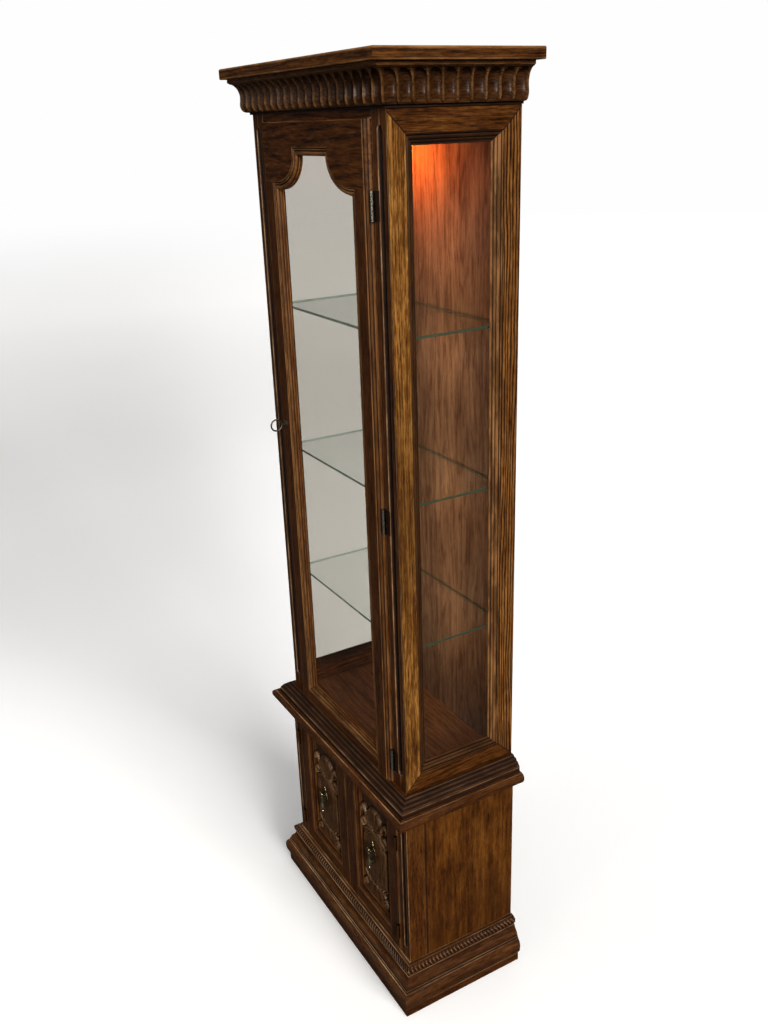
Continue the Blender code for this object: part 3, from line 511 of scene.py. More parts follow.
class Solid:
    """Collects closed bodies and makes one mesh object of them."""

    def __init__(self, name):
        self.name = name
        self.verts, self.faces = [], []
        self.grain, self.wear, self.dirt = [], [], []
        self.count = 0

    def add(self, verts, faces, wear=0.0, dirt=0.0, axis="Z", tag=""):
        """Adds a body; axis is its grain direction, tag varies the grain within the object."""
        verts = np.asarray(verts, float)
        a, b, c = name_seeds(self.name + tag)
        self.verts.append(verts)
        self.grain.append(verts[:, list(AXIS_ORDER[axis])] + np.array((a * 7.0, b * 7.0, c * 9.0)))
        self.wear.append(np.broadcast_to(np.asarray(wear, float), len(verts)))
        self.dirt.append(np.broadcast_to(np.asarray(dirt, float), len(verts)))
        self.faces.extend(tuple(self.count + i for i in face) for face in faces)
        self.count += len(verts)
        return self

    def loft(self, rings, wear=0.0, dirt=0.0, axis="Z", tag=""):
        """Adds a capped skin over rings; the wear and highlight marks and the dirt and shade marks
        are per ring point or broadcast.
        """
        rings = np.asarray(rings, float)
        shape = rings.shape[:2]
        index = np.arange(shape[0] * shape[1]).reshape(shape)
        faces = []
        for a, b in zip(index[:-1], index[1:]):
            faces.extend(zip(a.tolist(), np.roll(a, -1).tolist(),
                             np.roll(b, -1).tolist(), b.tolist()))
        faces.append(tuple(reversed(index[0].tolist())))
        faces.append(tuple(index[-1].tolist()))
        wear = np.broadcast_to(np.asarray(wear, float), shape).reshape(-1)
        dirt = np.broadcast_to(np.asarray(dirt, float), shape).reshape(-1)
        return self.add(rings.reshape(-1, 3), faces, wear, dirt, axis, tag)

    def make(self, material, body, replaces=None, slot="wood_stained", angle=34.0):
        mesh = bpy.data.meshes.new(self.name)
        mesh.from_pydata(np.vstack(self.verts).tolist(), [], self.faces)
        for name, data in (("wear", self.wear), ("dirt", self.dirt)):
            attribute = mesh.attributes.new(name, "FLOAT", "POINT")
            attribute.data.foreach_set("value", np.concatenate(data).astype(np.float32))
        attribute = mesh.attributes.new("wood_co", "FLOAT_VECTOR", "POINT")
        attribute.data.foreach_set("vector", np.vstack(self.grain).astype(np.float32).ravel())
        mesh.materials.append(material)
        bm = bmesh.new()
        bm.from_mesh(mesh)
        bmesh.ops.recalc_face_normals(bm, faces=bm.faces)
        bm.to_mesh(mesh)
        bm.free()
        mesh.polygons.foreach_set("use_smooth", np.ones(len(mesh.polygons), bool))
        mesh.set_sharp_from_angle(angle=math.radians(angle))
        mesh.update()
        ob = bpy.data.objects.new(self.name, mesh)
        SCENE.collection.objects.link(ob)
        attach(ob, body)
        if replaces:
            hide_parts(replaces)


def bar(name, section, along, stations, side=1.0, grain=None, marks=None):
    """One section carried along Z (section in x, y) or along X (section in y, z)."""
    a, b = section[:, 0], section[:, 1]
    rings = []
    for station in stations:
        fixed = np.full(len(section), station)
        rings.append(np.stack([side * a, b, fixed] if along == "Z" else [fixed, a, b], 1))
    wear, dirt = marks or wear_marks(section)
    return Solid(name).loft(rings, wear, dirt, grain or along)


def plank(solid, lo, hi, axis, ease):
    """A board with eased edges, its grain along axis."""
    k = "XYZ".index(axis)
    i, j = [other for other in range(3) if other != k]
    a0, a1, b0, b1, r = lo[i], hi[i], lo[j], hi[j], ease
    bulge = math.tan(math.pi / 8)
    section = outline([(a0 + r, b0), (a1 - r, b0), (a1, b0 + r, bulge), (a1, b1 - r),
                       (a1 - r, b1, bulge), (a0 + r, b1), (a0, b1 - r, bulge), (a0, b0 + r),
                       (a0 + r, b0, bulge)], arc=0.0004)
    centre = np.array(((a0 + a1) / 2, (b0 + b1) / 2))
    half = np.array(((a1 - a0) / 2, (b1 - b0) / 2))
    edge = wear_marks(section)[0]
    full = np.ones(len(section))
    rings, wear = [], []
    # distance from the end, inset of the section, wear
    ends = ((0.0, r, full), (r * 0.3, r * 0.3, full), (r, 0.0, full * 0.8), (4 * r, 0.0, edge))
    stations = [(lo[k] + d, inset, w) for d, inset, w in ends]
    stations += [(hi[k] - d, inset, w) for d, inset, w in reversed(ends)]
    for place, inset, ring_wear_highlight in stations:
        ring = np.zeros((len(section), 3))
        ring[:, [i, j]] = centre + (section - centre) * (1 - inset / half)
        ring[:, k] = place
        rings.append(ring)
        wear.append(ring_wear_highlight)
    solid.loft(rings, np.array(wear), axis=axis)


def turned(solid, profile, centre, direction, steps=20):
    """Revolves (radius, along) points about an axis; the profile starts and ends on it."""
    profile, centre = np.array(profile, float), np.array(centre, float)
    axis = Vector(direction).normalized()
    u = axis.orthogonal().normalized()
    u, v, axis = np.array(u), np.array(axis.cross(u)), np.array(axis)
    n = len(profile)
    verts, faces = [], []
    for k in range(steps):
        a = math.tau * k / steps
        radial = math.cos(a) * u + math.sin(a) * v
        verts.extend((centre + profile[:, :1] * radial + profile[:, 1:] * axis).tolist())
        this, following = k * n, (k + 1) % steps * n
        faces.extend((this + i, this + i + 1, following + i + 1, following + i)
                     for i in range(n - 1))
    solid.add(*weld(verts, faces))


def weld(verts, faces, tolerance=1e-7):
    """Joins coincident points and drops faces that collapse."""
    seen, kept, target = {}, [], []
    for point in verts:
        key = tuple(int(round(c / tolerance)) for c in point)
        if key not in seen:
            seen[key] = len(kept)
            kept.append(point)
        target.append(seen[key])
    result = []
    for face in faces:
        loop = []
        for i in face:
            if not loop or loop[-1] != target[i]:
                loop.append(target[i])
        if len(loop) > 1 and loop[0] == loop[-1]:
            loop.pop()
        if len(loop) >= 3:
            result.append(tuple(loop))
    return kept, result


def run_rings(run, section, footprint, steps, shape=None):
    """Rings of a mitred moulding run round the front or one side of a footprint.

    The section is (outward, z). shape(t), with t 0..1 along the run, gives the moved
    outward and z values and a tuple of marks; the marks are returned ring by ring.
    """
    mitre_gap = 0.00025
    half, front, back = footprint
    rings, marks = [], []
    for i in range(steps + 1):
        t = i / steps
        out, z = section[:, 0], section[:, 1]
        if shape is not None:
            out, z, mark = shape(t)
            marks.append(mark)
        if run == "front":
            edge = half + section[:, 0] - mitre_gap
            # the carving shifts the end rings fully, so the corners stay on the mitre
            x = (2 * t - 1) * (edge + (out - section[:, 0]) * abs(2 * t - 1))
            rings.append(np.stack([x, front - out, z], 1))
        else:
            side = 1.0 if run == "right" else -1.0
            start = front - out + mitre_gap
            rings.append(np.stack([side * (half + out), start + (back - start) * t, z], 1))
    return rings, marks


def make_run(name, run, rings, wear, dirt, material, replaces, angle=34.0):
    axis = "X" if run == "front" else "Y"
    Solid(name + run).loft(rings, wear, dirt, axis).make(material, "case", replaces, angle=angle)


# =============================================================================
# Materials
# =============================================================================
CARVED_OAK = wood("oak_carved", "carve", figure=0.6, blotch=0.45, gloss=0.30)
PANEL_OAK = wood("oak_carved_panel", "panel", figure=0.55, blotch=0.35, gloss=0.30, rub_highlight=0.7)
BASE_MOULDING_OAK = wood("oak_base_moulding", "dark", figure=0.45, blotch=0.40, bands=0.12,
                         gloss=0.30, rub_highlight=0.35)
RAIL_OAK = wood("oak_rail", "dark", figure=0.7, blotch=0.30, bands=0.75, width=2.2, wave=0.8,
                rub_highlight=0.8)
BASE_RAIL_OAK = wood("oak_base_rail", "dark", figure=0.7, blotch=0.35, bands=0.55, width=2.2,
                     wave=0.8, rub_highlight=0.35)
STILE_OAK = wood("oak_stile", "dark", figure=0.75, blotch=0.35, bands=0.5, wave=0.7, rub_highlight=0.8)
BASE_STILE_OAK = wood("oak_base_stile", "dark", figure=0.75, blotch=0.35, bands=0.55, wave=0.7,
                      rub_highlight=0.35)
FACE_OAK = wood("oak_face_stile", "edge", figure=0.7, blotch=0.35, bands=0.5, fur=0.5, rub_highlight=0.95)
DOOR_MOULDING_OAK = wood("oak_moulding", "bead", figure=0.40, blotch=0.35, bands=0.12,
                         gloss=0.28, rub_highlight=0.65, fur=0.3)
SIDE_MOULDING_OAK = wood("oak_side_moulding", "bead", figure=0.5, blotch=0.30, bands=0.10,
                         gloss=0.30, rub_highlight=1.0, fur=0.3)
WAIST_OAK = wood("oak_waist", "edge", figure=0.45, blotch=0.40, bands=0.15, gloss=0.28,
                 rub_highlight=0.75, fur=0.4)
PLINTH_OAK = wood("oak_plinth", "edge", figure=0.45, blotch=0.45, bands=0.15, gloss=0.28,
                  rub_highlight=1.2, fur=0.5)
SIDE_RAIL_OAK = wood("oak_side_rail", "mid", figure=0.75, blotch=0.35, bands=0.6, width=1.3,
                     wave=1.1)
SIDE_REAR_OAK = wood("oak_side_rear", "rear", figure=0.75, blotch=0.25, bands=2.3, width=0.85,
                     wave=0.55, fur=0.45)
SIDE_FRONT_OAK = wood("oak_side_front", "amber", figure=0.9, blotch=0.36, bands=0.40, fur=0.50,
                      pores=0.75, extra=handled)
BAND_OAK = wood("oak_base_band", "mid", figure=0.45, blotch=0.40, bands=0.3, fur=0.4)
SIDE_VENEER = wood("veneer_base_side", "veneer", figure=0.8, blotch=0.50, bands=0.22,
                   width=2.2, pores=0.6, wave=1.4, fur=0.38, extra=settled_low)
TOP_OAK = wood("oak_top_board", "mid", figure=0.9, blotch=0.35, bands=0.8, width=1.3)
DECK_OAK = wood("oak_deck", "deck", axis="X", shift=0.93, figure=0.5, blotch=0.3, bands=0.5,
                width=2.0, fur=0.3)
INNER_OAK = wood("oak_inside", "dark", axis="Z", shift=0.57, figure=0.8, blotch=0.3)
FACE_RAIL_OAK = wood("oak_face_rail", "dark", axis="X", shift=0.41, figure=0.8, blotch=0.35,
                     bands=0.7, width=1.4)
BACK_VENEER = wood("veneer_back", "back", axis="Z", shift=0.77, figure=0.8, blotch=0.40,
                   bands=0.55, width=3.0, pores=0.45, gloss=0.50, wave=1.6, fur=0.30,
                   extra=veneer_joints)
CLEAR_GLASS = glass("clear_glass", tint=(0.842, 0.832, 0.808))
SHELF_GLASS = glass("shelf_glass", tint=(0.975, 0.990, 0.983), edge=(0.085, 0.165, 0.120))
BRASS = metal("antique_brass", base=(0.24, 0.185, 0.095), tarnish=(0.036, 0.026, 0.014),
              rough=0.26, amount=1.0)
KEY_STEEL = metal("worn_steel_key", base=(0.13, 0.115, 0.09), tarnish=(0.030, 0.025, 0.018),
                  rough=0.36, amount=0.95)
PENDANT_BRASS = metal("pendant_brass", base=(0.46, 0.38, 0.23), tarnish=(0.060, 0.044, 0.024),
                      rough=0.20, amount=0.80)
PIN_METAL = metal("shelf_pin", base=(0.60, 0.58, 0.54), tarnish=(0.25, 0.22, 0.18),
                  rough=0.25, amount=0.4)
SOCKET_PLASTIC = plastic("lamp_socket_plastic", base=(0.70, 0.66, 0.56), rough=0.42)
BULB_GLASS = lamp_glass("lamp_bulb_glass", colour=(1.0, 0.42, 0.12), strength=14.0)
CORD_RUBBER = plastic("cord_rubber", base=(0.035, 0.028, 0.022), rough=0.5)

# =============================================================================
# Crown: upright carved flutes under the top board
# =============================================================================
# outward, z, bulge
CROWN = outline([
    (0.0003, 1.8735), (0.0040, 1.8735), (0.0040, 1.8768), (0.0050, 1.8776), (0.0092, 1.8780),
    (0.0168, 1.8850, 0.30), (0.0180, 1.8950, 0.12), (0.0172, 1.9060, -0.02),
    (0.0188, 1.9160, -0.07), (0.0266, 1.9290, -0.16), (0.0322, 1.9315, -0.08),
    (0.0328, 1.9325), (0.0350, 1.9335), (0.0350, 1.9397), (0.0003, 1.9397)], arc=0.0009)
FLUTE_COUNTS = {"front": 19, "left": 10, "right": 10}
STEPS_PER_FLUTE = 16
FLUTE_Z0, FLUTE_Z1 = 1.8784, 1.9318
FLUTE_DEPTH = 0.0078
FLUTE_HALF = 0.90           # half width of a flute as a share of half its pitch


def crown_shape(count):
    out, z = CROWN.T
    tangent = np.roll(CROWN, -1, 0) - np.roll(CROWN, 1, 0)
    normal = np.stack([tangent[:, 1], -tangent[:, 0]], 1)
    normal /= np.maximum(np.linalg.norm(normal, axis=1, keepdims=True), 1e-9)
    rise = (z - FLUTE_Z0) / (FLUTE_Z1 - FLUTE_Z0)
    carved = (rise > 0.0) & (rise < 1.0) & (out > 0.004)
    low = carved & (rise < 0.35)
    # the flutes close in a rounded head
    head = FLUTE_HALF * np.sqrt(np.clip(1 - ((rise - 0.70) / 0.27) ** 2, 0, 1))
    half = np.maximum(np.where(rise > 0.70, head, FLUTE_HALF), 1e-4)

    def shape(t):
        x = abs((t * count) % 1.0 - 0.5) * 2.0      # 0 in mid flute, 1 on the ridge
        bowl = np.sqrt(np.clip(1 - (x / half) ** 2, 0, 1))
        depth = np.where(carved, bowl * FLUTE_DEPTH * np.clip(half / 0.5, 0, 1), 0.0)
        new_out = out - normal[:, 0] * depth
        new_z = z - normal[:, 1] * depth
        # the flutes die out under the belly without a lip
        new_out[low] = out[low] - np.minimum(depth[low], np.maximum(out[low] - 0.0098, 0.0))
        new_z[low] = z[low]
        ridge = carved * np.clip((x - 0.84) / 0.10, 0, 1)
        hollow = np.where(carved, bowl, 0.0)
        lip = np.where(carved, np.exp(-((x - half) / 0.10) ** 2), 0.0)
        return np.maximum(new_out, 0.0006), new_z, (ridge, hollow, lip)
    return shape


def build_crown():
    wear_and_highlight0, dirt_and_shade0 = wear_marks(CROWN, reach=0.0025, size=0.0009)
    z = CROWN[:, 1]
    foot = np.clip((z - 1.8790) / 0.0040, 0, 1)     # no wear or painted highlight at the foot
    shade_under = np.where(z < 1.8782, 0.75, 0)           # painted shade below the flutes
    for run, count in FLUTE_COUNTS.items():
        steps = count * STEPS_PER_FLUTE
        rings, marks = run_rings(run, CROWN, UPPER, steps, crown_shape(count))
        # painted highlight on the ridges and lips, dirt and painted shade in the hollows
        wear = np.array([np.clip(wear_and_highlight0 * 0.35 + ridge * 0.62 + lip * 0.30, 0, 1) * foot
                         for ridge, hollow, lip in marks])
        dirt = np.array([np.clip(dirt_and_shade0 * 0.9 + hollow * 0.30 - lip * 0.2 + shade_under, 0, 1)
                         for ridge, hollow, lip in marks])
        make_run("carved_crown_", run, rings, wear, dirt, CARVED_OAK, "crown_" + run, angle=50)


# =============================================================================
# Waist: a thick rounded nose with beads stepping back above it
# =============================================================================
# outward, z, bulge
WAIST = outline([
    (-0.0160, 0.5403), (0.0083, 0.5403), (0.0083, 0.4952), (0.0108, 0.4952),
    (0.0145, 0.4980, 0.28), (0.0152, 0.4996), (0.0180, 0.5006), (0.0360, 0.5052, 0.04),
    (0.0470, 0.5205, 0.34), (0.0395, 0.5306, 0.40), (0.0388, 0.5312), (0.0318, 0.5316),
    (0.0302, 0.5332, -0.30), (0.0302, 0.5392), (0.0296, 0.5400), (0.0268, 0.5448, 0.46),
    (0.0262, 0.5462), (0.0250, 0.5468), (0.0198, 0.5508, 0.50), (0.0192, 0.5520),
    (0.0182, 0.5524), (0.0122, 0.5558, 0.50), (0.0114, 0.5566), (0.0100, 0.5570),
    (0.0062, 0.5598, 0.44), (0.0054, 0.5600), (-0.0160, 0.5600)])
WAIST_HIGHLIGHTS = ((0.0392, 0.5308), (0.0300, 0.5396))     # corners with a painted highlight line: outward, z


def build_waist():
    out, z = WAIST.T
    wear_and_highlight0, dirt_and_shade0 = wear_marks(WAIST)
    # painted shade in the beads' steps and under the nose; painted highlight on the corners,
    # stronger on the front
    beads = (z > 0.5330) & (out > 0.004)
    shade_under = (z < 0.5160) & (out < 0.030)
    for run in RUNS:
        wear = np.where(beads, wear_and_highlight0 ** 2 * 0.30, wear_and_highlight0 ** 2 * 0.7)
        dirt = np.where(beads, np.clip(dirt_and_shade0 * 1.5 + 0.60, 0, 1), dirt_and_shade0)
        for corner in WAIST_HIGHLIGHTS:
            rubbed_highlight = near(WAIST, corner, radius=0.0011)
            wear = np.where(rubbed_highlight, 0.95 if run == "front" else 0.45, wear)
            dirt = np.where(rubbed_highlight, 0.0, dirt)
        dirt = np.where(shade_under, np.clip(dirt + 0.45, 0, 1), dirt)
        rings, _ = run_rings(run, WAIST, UPPER, steps=6)
        make_run("waist_moulding_", run, rings, wear, dirt, WAIST_OAK, "waist_" + run)


# =============================================================================
# Plinth: flat foot, convex band, ogee and a rope bead on top
# =============================================================================
ROPE_OUT, ROPE_Z0, ROPE_Z1 = 0.0124, 0.1000, 0.1160
ROPE_CENTRE = (0.0118, (ROPE_Z0 + ROPE_Z1) / 2)
ROPE_PITCH = 0.0092
ROPE_DEPTH = 0.0032
# outward, z, bulge
PLINTH = outline([
    (0.0003, 0.0), (0.0290, 0.0), (0.0300, 0.0010), (0.0300, 0.0212), (0.0292, 0.0222),
    (0.0296, 0.0232), (0.0330, 0.0262), (0.0372, 0.0420, 0.16), (0.0352, 0.0590, 0.18),
    (0.0300, 0.0655, 0.08), (0.0288, 0.0658), (0.0284, 0.0664), (0.0284, 0.0704),
    (0.0272, 0.0712), (0.0262, 0.0722), (0.0198, 0.0850, 0.18), (0.0150, 0.0955, -0.20),
    (0.0132, 0.0968), (0.0124, 0.0992), (ROPE_OUT, ROPE_Z0), (ROPE_OUT, ROPE_Z1, 0.86),
    (0.0092, 0.1172), (0.0090, 0.1180), (0.0003, 0.1180)])
# corners with a painted highlight line: outward, z
PLINTH_HIGHLIGHTS = ((0.0300, 0.0211), (0.0303, 0.0650), (0.0284, 0.0704))


def rope_shape(count):
    out, z = PLINTH.T
    rope = (z >= ROPE_Z0 - 1e-6) & (z <= ROPE_Z1 + 1e-6) & (out > ROPE_OUT - 0.00005)
    offset = PLINTH - np.array(ROPE_CENTRE)
    angle = np.arctan2(offset[:, 1], offset[:, 0]) / (math.pi / 2)
    radial = offset / np.maximum(np.linalg.norm(offset, axis=1, keepdims=True), 1e-9)
    fade = np.cos(np.clip(angle, -1, 1) * math.pi / 2) ** 0.6

    def shape(t):
        phase = t * count + angle * 0.62            # the strands lean with the angle
        x = np.abs(phase - np.floor(phase) - 0.5) * 2      # 0 on the crest, 1 in the groove
        groove = np.where(rope, x ** 2.2, 0.0)
        depth = ROPE_DEPTH * groove * fade
        crest = np.where(rope, np.clip(1 - x / 0.45, 0, 1), 0)
        return out - radial[:, 0] * depth, z - radial[:, 1] * depth, (crest, groove)
    return shape


def build_plinth():
    wear_and_highlight0, dirt_and_shade0 = wear_marks(PLINTH)
    side_length = BASE_BACK - BASE_FRONT + ROPE_OUT
    lengths = {"front": 2 * (BASE_HALF + ROPE_OUT), "left": side_length, "right": side_length}
    for run, length in lengths.items():
        # wear and painted highlight scale, painted highlight of the corners, dirt and painted
        # shade in the rope's grooves
        scale, corner_highlight, grime_and_shade = (1.0, 0.80, 2.4) if run == "front" else (0.55, 0.38, 1.1)
        count = round(length / ROPE_PITCH)
        rings, marks = run_rings(run, PLINTH, BASE, count * 8, rope_shape(count))
        # painted highlight on the rope's crests, painted shade in its grooves
        wear = np.array([np.clip(wear_and_highlight0 * (1 - (groove > 0)) + crest ** 3 * 1.1, 0, 1)
                         for crest, groove in marks]) * scale
        dirt = np.array([np.clip(dirt_and_shade0 * 1.2 + groove * grime_and_shade - crest * 0.5, 0, 1)
                         for crest, groove in marks])
        for corner in PLINTH_HIGHLIGHTS:
            rubbed_highlight = near(PLINTH, corner, radius=0.0012)
            wear[:, rubbed_highlight], dirt[:, rubbed_highlight] = corner_highlight, 0.0
        make_run("plinth_moulding_", run, rings, wear, dirt, PLINTH_OAK, "plinth_" + run, angle=46)


# =============================================================================
# Upper side frames: mitred members round a stepped, beaded moulding
# =============================================================================
OPEN_Y0, OPEN_Y1, OPEN_Z0, OPEN_Z1 = -0.082, 0.113, 0.598, 1.8335     # opening
# inward from the opening's edge, outward from the side's face, bulge
SIDE_MOULDING = outline([
    (0.0, -0.0135), (0.0180, -0.0135), (0.0180, -0.0112), (0.0174, -0.0104),
    (0.0144, -0.0104), (0.0138, -0.0098), (0.0100, -0.0066, 0.45), (0.0095, -0.0078),
    (0.0086, -0.0078), (0.0030, -0.0040, 0.66), (0.0027, -0.0056), (0.0014, -0.0056),
    (0.0012, -0.0014), (0.0, -0.0012)])


def inset_polygon(points, distance):
    """Moves each corner inwards along its bisector."""
    result = points.copy()
    for i in range(len(points)):
        a = points[i - 1] - points[i]
        b = points[(i + 1) % len(points)] - points[i]
        a /= max(np.linalg.norm(a), 1e-9)
        b /= max(np.linalg.norm(b), 1e-9)
        bisector = a + b
        length = np.linalg.norm(bisector)
        if length > 1e-6:
            half_sine = math.sqrt(max((1 - np.dot(a, b)) / 2, 0.05))
            result[i] += bisector / length * distance / half_sine
    return result


def side_member(name, corners, axis, material, side, replaces=None):
    """A flat member from (y, z) corners; those on the front plane step back inside."""
    ease = 0.0005
    outer = np.array([(side * UPPER_HALF, y, z) for y, z in corners])
    inner = np.array([(side * SIDE_LO.x, y + (SIDE_T if y < UPPER_FRONT + 0.001 else 0.0), z)
                      for y, z in corners])
    shoulder = outer - np.array((side * ease, 0.0, 0.0))
    rings = [inner, shoulder, inset_polygon(outer, ease), inset_polygon(outer, 0.0016)]
    joint_dirt = np.array([[0.0], [1.0], [0.9], [0.0]])
    solid = Solid(name).loft(rings, dirt=joint_dirt, axis=axis)
    solid.make(material, "case", replaces, angle=30)


def side_moulding(side, tag):
    gap = 0.0001
    wear, dirt = wear_marks(SIDE_MOULDING)
    inward, out = SIDE_MOULDING.T

    def placed(y, y_sign, z, z_sign):
        return np.stack([side * (UPPER_HALF + out), y + y_sign * inward, z + z_sign * inward], 1)

    # y, inward sign of y, z, inward sign of z
    corners = [(OPEN_Y0, 1, OPEN_Z0, 1), (OPEN_Y1, -1, OPEN_Z0, 1),
               (OPEN_Y1, -1, OPEN_Z1, -1), (OPEN_Y0, 1, OPEN_Z1, -1)]
    # axis, edge wear with painted highlight, overall painted highlight, overall dirt with painted
    # shade, for the bottom, back, top and front lengths
    lengths = [("Y", 0.30, 0.0, 0.25), ("Z", 0.75, 0.30, 0.05),
               ("Y", 0.05, 0.0, 0.60), ("Z", 0.20, 0.0, 0.35)]
    solid = Solid("side_moulding_" + tag)
    for k, (axis, edge_wear_highlight, rub_highlight, grime_and_shade) in enumerate(lengths):
        gap_y, gap_z = (gap, 0.0) if axis == "Y" else (0.0, gap)
        rings = [placed(y + gap_y * y_sign, y_sign, z + gap_z * z_sign, z_sign)
                 for y, y_sign, z, z_sign in (corners[k], corners[(k + 1) % 4])]
        solid.loft(rings, np.clip(wear ** 2 * edge_wear_highlight + rub_highlight, 0, 1),
                   np.clip(dirt * 1.8 + grime_and_shade, 0, 1), axis, str(k))
    solid.make(SIDE_MOULDING_OAK, "case")


def build_side_frame(side, tag):
    gap = 0.00015
    z0, z1 = SIDE_LO.z, SIDE_HI.z
    front_z, back_z = OPEN_Z1 + 0.036, OPEN_Z1 + 0.038      # outer ends of the top mitres
    side_member("side_stile_front_" + tag,
                [(UPPER_FRONT, z0 + 0.0015), (OPEN_Y0, OPEN_Z0 + gap),
                 (OPEN_Y0, OPEN_Z1 - gap), (UPPER_FRONT, front_z - gap)],
                "Z", SIDE_FRONT_OAK, side, "side_frame_" + tag)
    side_member("side_stile_back_" + tag,
                [(OPEN_Y1, OPEN_Z0 + gap), (UPPER_BACK, z0 + gap),
                 (UPPER_BACK, back_z - gap), (OPEN_Y1, OPEN_Z1 - gap)],
                "Z", SIDE_REAR_OAK, side)
    side_member("side_rail_top_" + tag,
                [(UPPER_FRONT, front_z), (OPEN_Y0, OPEN_Z1), (OPEN_Y1, OPEN_Z1),
                 (UPPER_BACK, back_z), (UPPER_BACK, z1), (UPPER_FRONT, z1)],
                "Y", SIDE_RAIL_OAK, side)
    side_member("side_rail_bottom_" + tag,
                [(UPPER_FRONT, z0), (UPPER_BACK, z0), (OPEN_Y1, OPEN_Z0),
                 (OPEN_Y0, OPEN_Z0), (UPPER_FRONT, z0 + 0.0013)],
                "Y", SIDE_RAIL_OAK, side)
    side_moulding(side, tag)


# =============================================================================
# Corner stiles: a stopped flute with round ends down each one
# =============================================================================
def corner_stile(node, side, half, front, lo, hi, flute_inset, flute_radius, flute_z):
    """flute_inset: flute's middle in from the case side. flute_z: centres of its ends."""
    gap, thickness, sink = 0.0002, 0.020, 0.0006
    width = half - lo.x
    flute_x = half - flute_inset
    z0, z1 = lo.z, hi.z
    end0, end1 = flute_z
    # the flute's lips reach 1.31 radii and must stay on the flat
    radius = min(flute_radius, (width - 0.0030 - (half - flute_x)) / 1.31,
                 (half - flute_x - 0.0034) / 1.31)
    arc = np.cos(np.linspace(math.pi, 0, 21)) * 0.985
    xs = flute_x + np.concatenate([[-1.30, -1.12], arc, [1.12, 1.30]]) * radius
    inner_corner = [(half - width + 0.0007, front), (half - width + 0.0022, front)]
    outer_corner = [(half - gap - 0.0024, front), (half - gap - 0.0007, front),
                    (half - gap - 0.0003, front + 0.0004)]
    back = [(half - SIDE_T - gap, front + SIDE_T), (half - SIDE_T - gap, front + thickness),
            (half - width, front + thickness), (half - width, front + 0.0007)]
    section = np.array(inner_corner + [(x, front) for x in xs] + outer_corner + back)
    flute = slice(len(inner_corner), len(inner_corner) + len(xs))
    offset = section[flute, 0] - flute_x
    # wear and painted highlight on the front arrises
    edge_wear_highlight = np.zeros(len(section))
    edge_wear_highlight[[0, -1]] = 0.7
    edge_wear_highlight[[flute.stop + 1, flute.stop + 2]] = 0.9

    cap = radius * np.sin(np.linspace(0, math.pi / 2, 9))
    stations = [z0, z0 + 0.0006, z0 + 0.004, *(end0 - cap[::-1] * 0.999), end0 + 0.02,
                (end0 + end1) / 2, end1 - 0.02, *(end1 + cap * 0.999),
                z1 - 0.004, z1 - 0.0006, z1]
    rings, wear, dirt = [], [], []
    for z in stations:
        past_end = max(end0 - z, z - end1, 0.0)
        square = radius * radius - offset ** 2 - past_end * past_end
        depth = np.maximum(np.sqrt(np.maximum(square, 0)) * 0.82 - sink, 0.0)
        y = section[:, 1].copy()
        y[flute] += depth
        ring_wear_highlight, ring_dirt_shade = edge_wear_highlight.copy(), np.zeros(len(section))
        # dirt and painted shade in the flute, darkest where it is deepest
        ring_dirt_shade[flute] = np.clip(depth / (radius * 0.5), 0, 1)
        # painted highlight along the flute's lips
        if past_end < radius:
            rim = math.sqrt(radius * radius - past_end * past_end)
            lip = np.clip(1 - np.abs(np.abs(offset) - rim) / (0.22 * radius), 0, 1)
            lip = np.where(depth <= radius * 0.18, lip, 0) * 0.95
            ring_wear_highlight[flute] = np.maximum(ring_wear_highlight[flute], lip)
        rings.append(np.stack([side * section[:, 0], y, np.full(len(section), z)], 1))
        wear.append(ring_wear_highlight)
        dirt.append(ring_dirt_shade)
    solid = Solid(node + "_fluted").loft(rings, np.array(wear), np.array(dirt), "Z")
    solid.make(FACE_OAK, "case", node, angle=32)


def build_corner_stiles(side, tag):
    corner_stile("face_stile_" + tag, side, UPPER_HALF, UPPER_FRONT, FACE_STILE_LO,
                 FACE_STILE_HI, flute_inset=0.0225, flute_radius=0.0084,
                 flute_z=(0.6030, 1.8400))
    corner_stile("base_stile_" + tag, side, BASE_HALF, BASE_FRONT, BASE_STILE_LO,
                 BASE_STILE_HI, flute_inset=0.0170, flute_radius=0.0060,
                 flute_z=(0.1520, 0.4580))


# =============================================================================
# Top board: a centre panel inside mitred, eased edges
# =============================================================================
def build_top_board():
    edge = 0.012
    z0, z1 = TOP_LO.z, TOP_HI.z
    section = outline([(0.0002, z0), (edge - 0.0020, z0), (edge, z0 + 0.0020, 0.41),
                       (edge, z1 - 0.0034), (edge - 0.0034, z1, 0.41), (0.0002, z1)],
                      arc=0.0005)
    wear, dirt = wear_marks(section)
    wear = np.clip(wear + np.where(section[:, 0] > edge - 0.0008, 0.12, 0), 0, 1)
    footprint = (TOP_HI.x - edge, TOP_LO.y + edge, TOP_HI.y)
    for run in RUNS:
        rings, _ = run_rings(run, section, footprint, steps=4)
        make_run("top_board_edge_", run, rings, wear, dirt, TOP_OAK,
                 "top_board" if run == "front" else None)
    centre = Solid("top_board_centre")
    plank(centre, (-TOP_HI.x + edge, TOP_LO.y + edge, z0), (TOP_HI.x - edge, TOP_HI.y, z1),
          "X", ease=0.0004)
    centre.make(TOP_OAK, "case")


